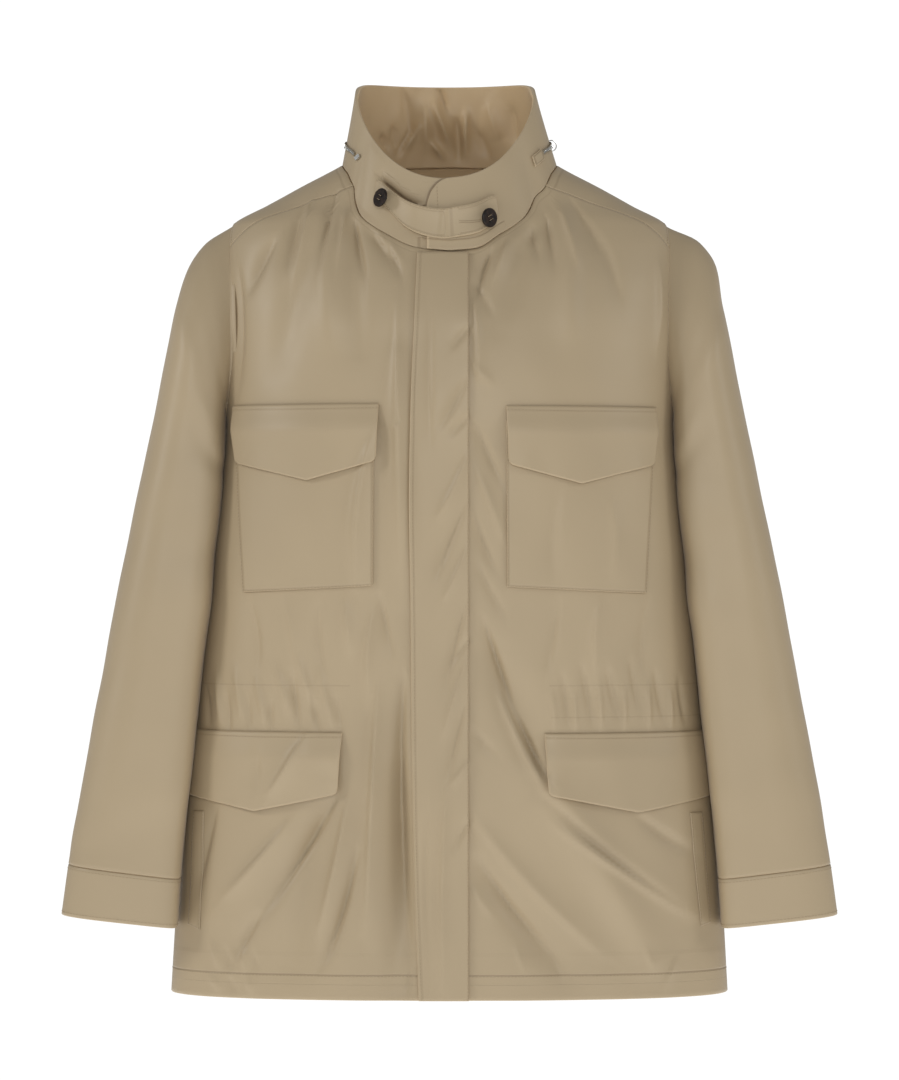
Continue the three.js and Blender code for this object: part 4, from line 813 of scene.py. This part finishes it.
# Lines on the collar, each as a distance in millimetres: the sewn band along the foot at the front and its
# end, a painted shadow along the fold that the tab holds down, and painted shade beside the lap's rounded
# corner.
BAND_UP, RUN_MM = 0.135, 1.7
rows_up = 75 * (up - BAND_UP)
seam_and_shadow_lines = np.where((run > 345) & (np.abs(rows_up) < 8), rows_up, NO_SEAM)
seam_and_shadow_lines = np.where((run < 8.5) & (run > 0) & (np.abs(rows_up) < 8), rows_up, seam_and_shadow_lines)
upright = (run - 7.6) * RUN_MM
seam_and_shadow_lines = np.where((np.abs(upright) < 3.5) & (up < 0.15), upright, seam_and_shadow_lines)
# Painted shadow: a dark line along the dent above the throat tab, where the tab's top edge shades the
# collar.
tab_shadow_line = (up - tab_top(turn)) * COLLAR_TALL - 1.2
in_tab_shadow = (turn > -19.5) & (turn < -6.2) & (np.abs(tab_shadow_line) < 9)
seam_and_shadow_lines = np.where(in_tab_shadow, tab_shadow_line * 0.4, seam_and_shadow_lines)
across, above = (run + 1.5) / 7, np.maximum(up - 0.5, 0) / 0.5
ring = np.hypot(across, above)
slant = np.maximum(np.hypot(across / (7 * RUN_MM), above / 37.5), 1e-4)
lap_edge = (ring - 1) * ring / slant - 0.6
beside_lap = (run > -1.5) & (run < 10) & (up > tab_top(turn) + 0.03) & (np.abs(lap_edge) < 4)
seam_and_shadow_lines = np.where(beside_lap, lap_edge, seam_and_shadow_lines)
# How dark each line is drawn; the painted shadow above the tab is drawn darkest.
press = np.where(in_tab_shadow, 2.4 * smooth(-19.5, -17.5, turn), 0.7)
press = np.where(beside_lap, 1.1, press)
# The collar's top edge and the last four columns of the lap's end carry the painted highlight.
cloth("collar", (0.6, 0.095), 0.045, outer, facing, stowed, flip=True, fields=seam_and_shadow_lines, pressed=press,
      free=(0, 1, 0, 4))
base_row = int(np.argmin(np.abs(up[:, 60] - BAND_UP)))
lap_columns = np.arange(run.shape[1])[(run[0] > 345) & (run[0] < 363.5)]
edge_column = lap_columns[-1]
sew("collar_stitches", [(outer[base_row, lap_columns], facing[base_row, lap_columns]),
                        (outer[base_row:-2, edge_column], facing[base_row:-2, edge_column])])

# The throat tab is a doubled strap of the same cloth, in two parts with a seam between them. It
# crosses the collar's lap from one button to the other and gapes a little along its top.
TAB_START, TAB_END, TAB_WIDE = -20, 12.5, 30


def tab_lift(turn):
    """How far the tab's underside lies off the collar: more over the lap."""
    return 0.9 + 3.2 * smooth(-14, -7.5, turn)


def tab_gape(turn, share_up):
    """How far the tab's top stands off between the buttons."""
    return 3.0 * share_up ** 2 * smooth(-19, -15, turn) * (1 - smooth(8, 12, turn))


def run_of(turn):
    """Run round the collar at a turn from the centre front, on the lap at the wearer's left."""
    return np.where(turn > 0, 360 - turn, -turn)


def on_collar(turn, up, lift):
    """A point off the collar's start, whether the lap is there or not."""
    bare = np.where(turn > 0, lap_of(360 - turn), 0)
    return collar_point(run_of(turn), up, lift - bare)


turn = even(TAB_START, TAB_END, 0.45, 0.2)[None, :]
share_up = even(0, TAB_WIDE, 1.6)[:, None] / TAB_WIDE
turn, share_up = np.broadcast_arrays(turn, share_up)
ends = np.minimum(turn - TAB_START, TAB_END - turn)
round_end = 1 - 0.3 * (1 - np.clip(ends / 2, 0, 1)) ** 2
up = blend(tab_foot(turn), tab_top(turn), 0.5 + (share_up - 0.5) * round_end)
gape = tab_gape(turn, share_up) + 1.8 * smooth(9, TAB_END, turn) * share_up
fold_line = 1.4 * np.exp(-((turn + 1.8 - 1.2 * share_up) / 0.9) ** 2)
TAB_THICK = 1.8
outer = on_collar(turn, up, tab_lift(turn) + TAB_THICK + gape - fold_line)
facing = collar_normal(run_of(turn), up)
upright = (turn - 0.9) * RUN_MM
border = np.minimum(share_up, 1 - share_up) * TAB_WIDE - 3.2
line = np.where(np.abs(upright) < 3, upright, border)
cloth("throat_tab", (0.115, 0.031), 0.0031, outer, facing, TAB_THICK, fields=line, pressed=0.4)
sew("tab_stitches", [(outer[2], facing[2]), (outer[-3], facing[-3])])

# The buttonhole beside the wearer's left button is cut along the tab and bound with thread: two
# close rows of short stitches, one on each side of the cut.
hole_turn = np.linspace(2.8, 10.5, 24)
hole_rows = []
for apart in (-0.9, 0.9):
    hole_up = 0.365 - 0.006 * (hole_turn - 2.8) + apart / COLLAR_TALL
    hole_share = (hole_up - tab_foot(hole_turn)) / (tab_top(hole_turn) - tab_foot(hole_turn))
    gape = tab_gape(hole_turn, hole_share)
    hole = on_collar(hole_turn, hole_up, tab_lift(hole_turn) + TAB_THICK + 0.05 + gape)
    hole_rows.append((hole, collar_normal(run_of(hole_turn), hole_up)))
sew("buttonhole_thread", hole_rows, pitch=0.75, long=0.9)

# The stowed hood's zip goes round the back of the collar: a woven tape with a row of teeth, and
# a small cloth garage with a box of stitches over its end at the wearer's left.
ZIP_START, ZIP_END, GARAGE = 42, 45, 13
zip_height = curve((33, 0.49), (43, 0.41), (62, 0.31), (88, 0.28), (120, 0.26), (180, 0.3))
tape = Look("zip_tape")
rib = tape.node("ShaderNodeTexNoise", 0, i0=tape.node("ShaderNodeTexCoord", 3), Scale=900.0, Detail=1.0)
tape.put(Base_Color=(0.25, 0.21, 0.15, 1), Roughness=0.8,
         Normal=tape.node("ShaderNodeBump", 0, Strength=0.4, Distance=MM, Height=rib * 0.2))


def zip_place(run, across, lift):
    """A point beside the zip's line, by run round the collar and millimetres across it."""
    up = zip_height(np.abs(collar_turn_of(run))) + across / 68
    facing = collar_normal(run, up)
    return collar_point(run, up, lift) + collar_relief(run, up)[..., None] * facing, facing


TAPE_LIFT, TAPE_THICK, HALF_TAPE = 1.7, 0.6, 2.5
run, across = np.broadcast_arrays(even(ZIP_START, 360 - ZIP_END, 1.5, 0.3)[None, :],
                                  np.linspace(-HALF_TAPE, HALF_TAPE, 7)[:, None])
outer, facing = zip_place(run, across, TAPE_LIFT)
ribbon = shell("hood_zip_tape", outer, facing, TAPE_THICK, flip=True, free=(0, 0, 0, 0))
ribbon.data.materials.clear()
ribbon.data.materials.append(tape.material)
ribbon.data.materials.append(tape.material)
declare(ribbon, "hood_zip")
metal = Look("silver_metal")
scuff = metal.node("ShaderNodeTexNoise", 0, i0=metal.node("ShaderNodeTexCoord", 3), Scale=700.0, Detail=2.0)
metal.put(Base_Color=(0.62, 0.62, 0.60, 1), Metallic=1.0, Roughness=scuff * 0.12 + 0.2)
# Teeth from the two edges alternate. Each is a block that narrows to its top.
TOOTH_PITCH, TOOTH_TALL, TOOTH_LAP = 0.9, 0.75, 0.42
tooth_groups = []
for start, middle in ((43, TOOTH_LAP), (43 + TOOTH_PITCH / 2, -TOOTH_LAP)):
    runs = np.arange(start, 314, TOOTH_PITCH)
    tooth_groups.append([
        zip_place(runs + a * 0.26, np.full(runs.shape, middle + b * 0.8), TAPE_LIFT - 0.02 + rise)[0]
        for rise, w in ((0.0, 1.0), (TOOTH_TALL, 0.7)) for a, b in ((-w, -w), (w, -w), (w, w), (-w, w))])
small_blocks("hood_zip_teeth", tooth_groups, metal, BLOCK_FACES[:, ::-1])
run, across = np.broadcast_arrays(360 - even(ZIP_END - GARAGE, ZIP_END - 1.2, 1.0, 0.3)[None, :],
                                  np.linspace(-6, 6, 13)[:, None])
outer, facing = zip_place(run, across, 1.1 + PLY)
border = np.minimum(6 - np.abs(across), np.minimum(run - run.min(), run.max() - run) * 1.15) - 1.4
cloth("zip_garage", (0.0145, 0.0125), 0.00016, outer, facing, PLY, fields=border, pressed=0.8)

# The placket covers the front closure. It is a folded strip of the same cloth, sewn down along
# the wearer's left edge and free along the right one.
PLACKET_TOP, PLACKET_SEWN, PLACKET_WIDE, PLACKET_THICK, LIE = -80.5, 17.8, 54, 2, 1.1
placket_free = curve((-774, -28.5), (-660, -33), (-590, -34.5), (-400, -36), (-310, -37), (-215, -35.5),
                     (-145, -32.6), (PLACKET_TOP, -30))


def on_front(x, z, lift):
    """Points and normals over the fronts at places seen from the front, moved outward."""
    return body(turn_at(x, z), z, lift)


height = even(HEM_Z, PLACKET_TOP, 3.0)[:, None]
share_across = even(0, PLACKET_WIDE, 1.6)[None, :] / PLACKET_WIDE
height, share_across = np.broadcast_arrays(height, share_across)
x = blend(placket_free(height), PLACKET_SEWN, share_across)
outer, normals = on_front(x, height, LIE + PLACKET_THICK)
free = x - placket_free(height) - 4
cloth("placket", (0.056, 0.705), 0.037, outer, normals, PLACKET_THICK, fields=free, pressed=0.3,
      free=(1, 0, 1, 0))
sew("placket_stitches", [(outer[:, 3], normals[:, 3]), (outer[:, -2], normals[:, -2])])

# Two patch pockets on the chest and the welts of two hand pockets at the sides lie flat on the
# fronts. They are cut from the same cloth, and their edges are turned in and sewn down.
for name, in_x, out_x, top_z, foot_in_x, foot_out_x, foot_in_z, foot_out_z, lift in (
        ("chest_pocket_right", -69, -200, -236, -70.5, -191, -389, -395.5, 1.3),
        ("chest_pocket_left", 52.2, 190, -237, 53, 182, -390, -396.5, 1.3),
        ("pocket_welt_right", -230, -240, -601, -233.5, -245.5, -712, -708, 0.2),
        ("pocket_welt_left", 224.6, 236.5, -602, 235, 245, -709, -706, 0.2)):
    wide, tall = abs(out_x - in_x), abs(top_z - foot_in_z)
    u = even(0, wide, 3.0)[None, :] / wide
    v = even(0, tall, 3.0)[:, None] / tall
    x = blend(blend(foot_in_x, foot_out_x, u), blend(in_x, out_x, u), v)
    z = blend(blend(foot_in_z, foot_out_z, u), top_z, v)
    chest = name.startswith("chest")
    ply = PLY if chest else 0.9
    outer, normals = on_front(x, z, lift + ply)
    border = np.minimum(np.minimum(u, 1 - u) * wide, v * tall) + 0 * x
    cloth(name, (0.145, 0.158) if chest else (0.017, 0.12), 0.022 if chest else 0.0018,
          outer, normals, ply, flip=out_x < 0, fields=border - 1.7,
          pressed=0.4 if chest else 0.2, free=(0.6, 0, 0.6, 0.6) if chest else (0, 0, 0, 0))
    sew(f"{name}_stitches", [(outer[:, 1], normals[:, 1]), (outer[1], normals[1]),
                             (outer[:, -2], normals[:, -2])])

# Pointed flaps close the chest pockets and the hip pockets. Each is doubled cloth with rounded
# corners, sewn down along its top, and stands off a little towards its point.
FLAP_TALL, FLAP_THICK, CORNER = 60, 1.8, 5
for name, in_x, out_x, top_z, low_in_x, low_out_x, low_in_z, low_out_z, tip_x, tip_z, off, off_out in (
        ("chest_flap_right", -65, -202, -221.6, -66.5, -196, -274, -275.5, -130, -292, 3.8, 3.8),
        ("chest_flap_left", 52.2, 192, -223.5, 53.5, 187, -277, -277.5, 120, -295, 3.8, 3.8),
        ("hip_flap_right", -99, -237, -525, -103, -245, -582, -586, -179.5, -598.5, 2.4, 0.3),
        ("hip_flap_left", 87.8, 239, -526, 90, 244.5, -582, -587, 174.4, -600, 2.4, 0.3)):
    tip = (tip_x - low_in_x) / (low_out_x - low_in_x)
    wide = abs(out_x - in_x)
    u = even(0, wide, 2.2)[None, :] / wide
    v = even(0, FLAP_TALL, 2.0)[:, None] / FLAP_TALL
    u, v = np.broadcast_arrays(u, v)
    corner = np.minimum(u, 1 - u) * wide
    cut = CORNER * (1 - np.sqrt(1 - (1 - np.clip(corner / CORNER, 0, 1)) ** 2))
    low = np.where(u < tip, blend(low_in_z, tip_z, u / tip), blend(tip_z, low_out_z, (u - tip) / (1 - tip)))
    z = blend(low + cut, top_z, v)
    x = blend(blend(low_in_x, low_out_x, u), blend(in_x, out_x, u), v)
    chest = name.startswith("chest")
    stand = (1.35 if chest else 2.0) * blend(off, off_out, u * u) * smooth(0, 26, top_z - z)
    flutter = 0.9 * wave(x / 9, tip_x) * smooth(0.45, 0.0, v) - 0.5 * (1 - smooth(0, 3, top_z - z))
    outer, normals = on_front(x, z, LIE + FLAP_THICK + stand + flutter)
    cloth(name, (0.152, 0.075), 0.0095 if chest else 0.0112, outer, normals, FLAP_THICK,
          flip=out_x < 0, fields=(top_z - z) - 4.5, pressed=0.22, free=(1, 0.4, 1, 1))
    sew(f"{name}_stitches", [(outer[-4], normals[-4])])

# The buttons are turned from brown horn and sewn on with thread through their four holes. They
# and the zip's slider, ring and stop, of plain bright metal, keep their solids' forms.
horn = Look("brown_horn")
grain = horn.node("ShaderNodeTexNoise", 0, i0=horn.node("ShaderNodeTexCoord", 3), Scale=260.0, Detail=4.0)
horn.put(Base_Color=horn.mix(grain.step(0.35, 0.7), (0.005, 0.003, 0.002, 1), (0.026, 0.012, 0.006, 1)),
         Roughness=grain * 0.15 + 0.3, Specular_IOR_Level=0.3)
for name, look, slot in (("button_right", horn, "button_horn"), ("button_left", horn, "button_horn"),
                         ("zip_slider", metal, "zip_metal"), ("zip_pull", metal, "zip_metal"),
                         ("zip_stop", metal, "zip_metal")):
    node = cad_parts[name]
    node.data.materials.clear()
    node.data.materials.append(look.material)

LEAN = np.radians(33)
for name, at_turn, at_up, line in (("button_right", -16.75, 0.44, -62), ("button_left", 9.5, 0.31, 35)):
    turns, ups = at_turn + np.array([0, 0.5, -0.5]), np.full(3, at_up)
    spots = on_collar(turns, ups, 5.0)
    out = collar_normal(run_of(turns), ups)[0]
    rise = unit(np.cross(out, unit(spots[1] - spots[2])))
    tilt = np.array(Matrix.Rotation(LEAN, 3, (np.cos(np.radians(line)), np.sin(np.radians(line)), 0)))
    axes = np.stack([np.cross(rise, out), rise, out], 1) @ tilt
    solid = np.array([tuple(vertex.co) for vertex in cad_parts[name].data.vertices]) / MM
    centre, face = solid.mean(0), axes[:, 2]
    centre = centre + face * ((solid @ face).max() - centre @ face + 0.05)
    bars = [centre + np.array([(x, y, 0) for x in (-3.5, 0, 3.5)]) @ axes.T for y in (-2, 2)]
    sew(f"{name}_thread", [(bar, np.tile(face, (3, 1))) for bar in bars], pitch=6.9, long=4.4)

# The stage is a white floor well below the hem and white all round, with a soft panel on each
# side and one in front, and a long lens level with the jacket's middle.
white = Look("white_stage")
white.put(Base_Color=(0.9, 0.9, 0.9, 1), Roughness=0.9, Specular_IOR_Level=0.0,
          Emission_Color=(1, 1, 1, 1), Emission_Strength=0.9)
bpy.ops.mesh.primitive_plane_add(size=16, location=(0, 0, -2.2))
floor = bpy.context.object
floor.name = "floor"
floor.data.materials.append(white.material)
world = bpy.data.worlds.new("studio")
world.use_nodes = True
sky = world.node_tree
seen = sky.nodes.new("ShaderNodeLightPath").outputs["Is Camera Ray"]
strength = sky.nodes.new("ShaderNodeMapRange")
sky.links.new(seen, strength.inputs[0])
strength.inputs[3].default_value = 0.34
strength.inputs[4].default_value = 1.05
sky.links.new(strength.outputs[0], sky.nodes["Background"].inputs[1])
sky.nodes["Background"].inputs[0].default_value = (1, 1, 1, 1)
bpy.context.scene.world = world
for name, power, size, spot, aim in (
        ("key", 34, 0.8, (-3.3, -1.6, 1.2), (0, 0, -0.3)),
        ("fill", 18, 1.0, (3.3, -1.6, 0.9), (0, 0, -0.3)),
        ("front", 34, 0.7, (0.1, -4.5, 0.8), (0, 0, -0.2))):
    data = bpy.data.lights.new(name, "AREA")
    data.energy = power
    data.size = size
    lamp = bpy.data.objects.new(name, data)
    lamp.location = spot
    lamp.rotation_euler = (Vector(aim) - Vector(spot)).to_track_quat("-Z", "Y").to_euler()
    bpy.context.scene.collection.objects.link(lamp)
bpy.context.scene.view_settings.view_transform = "Standard"
lens = bpy.data.cameras.new("camera")
lens.sensor_width = 36
lens.lens = 140.35
camera = bpy.data.objects.new("camera", lens)
camera.location = (0, -4.0, -0.347)
camera.rotation_euler = (np.pi / 2, 0, 0)
bpy.context.scene.collection.objects.link(camera)
bpy.context.scene.camera = camera
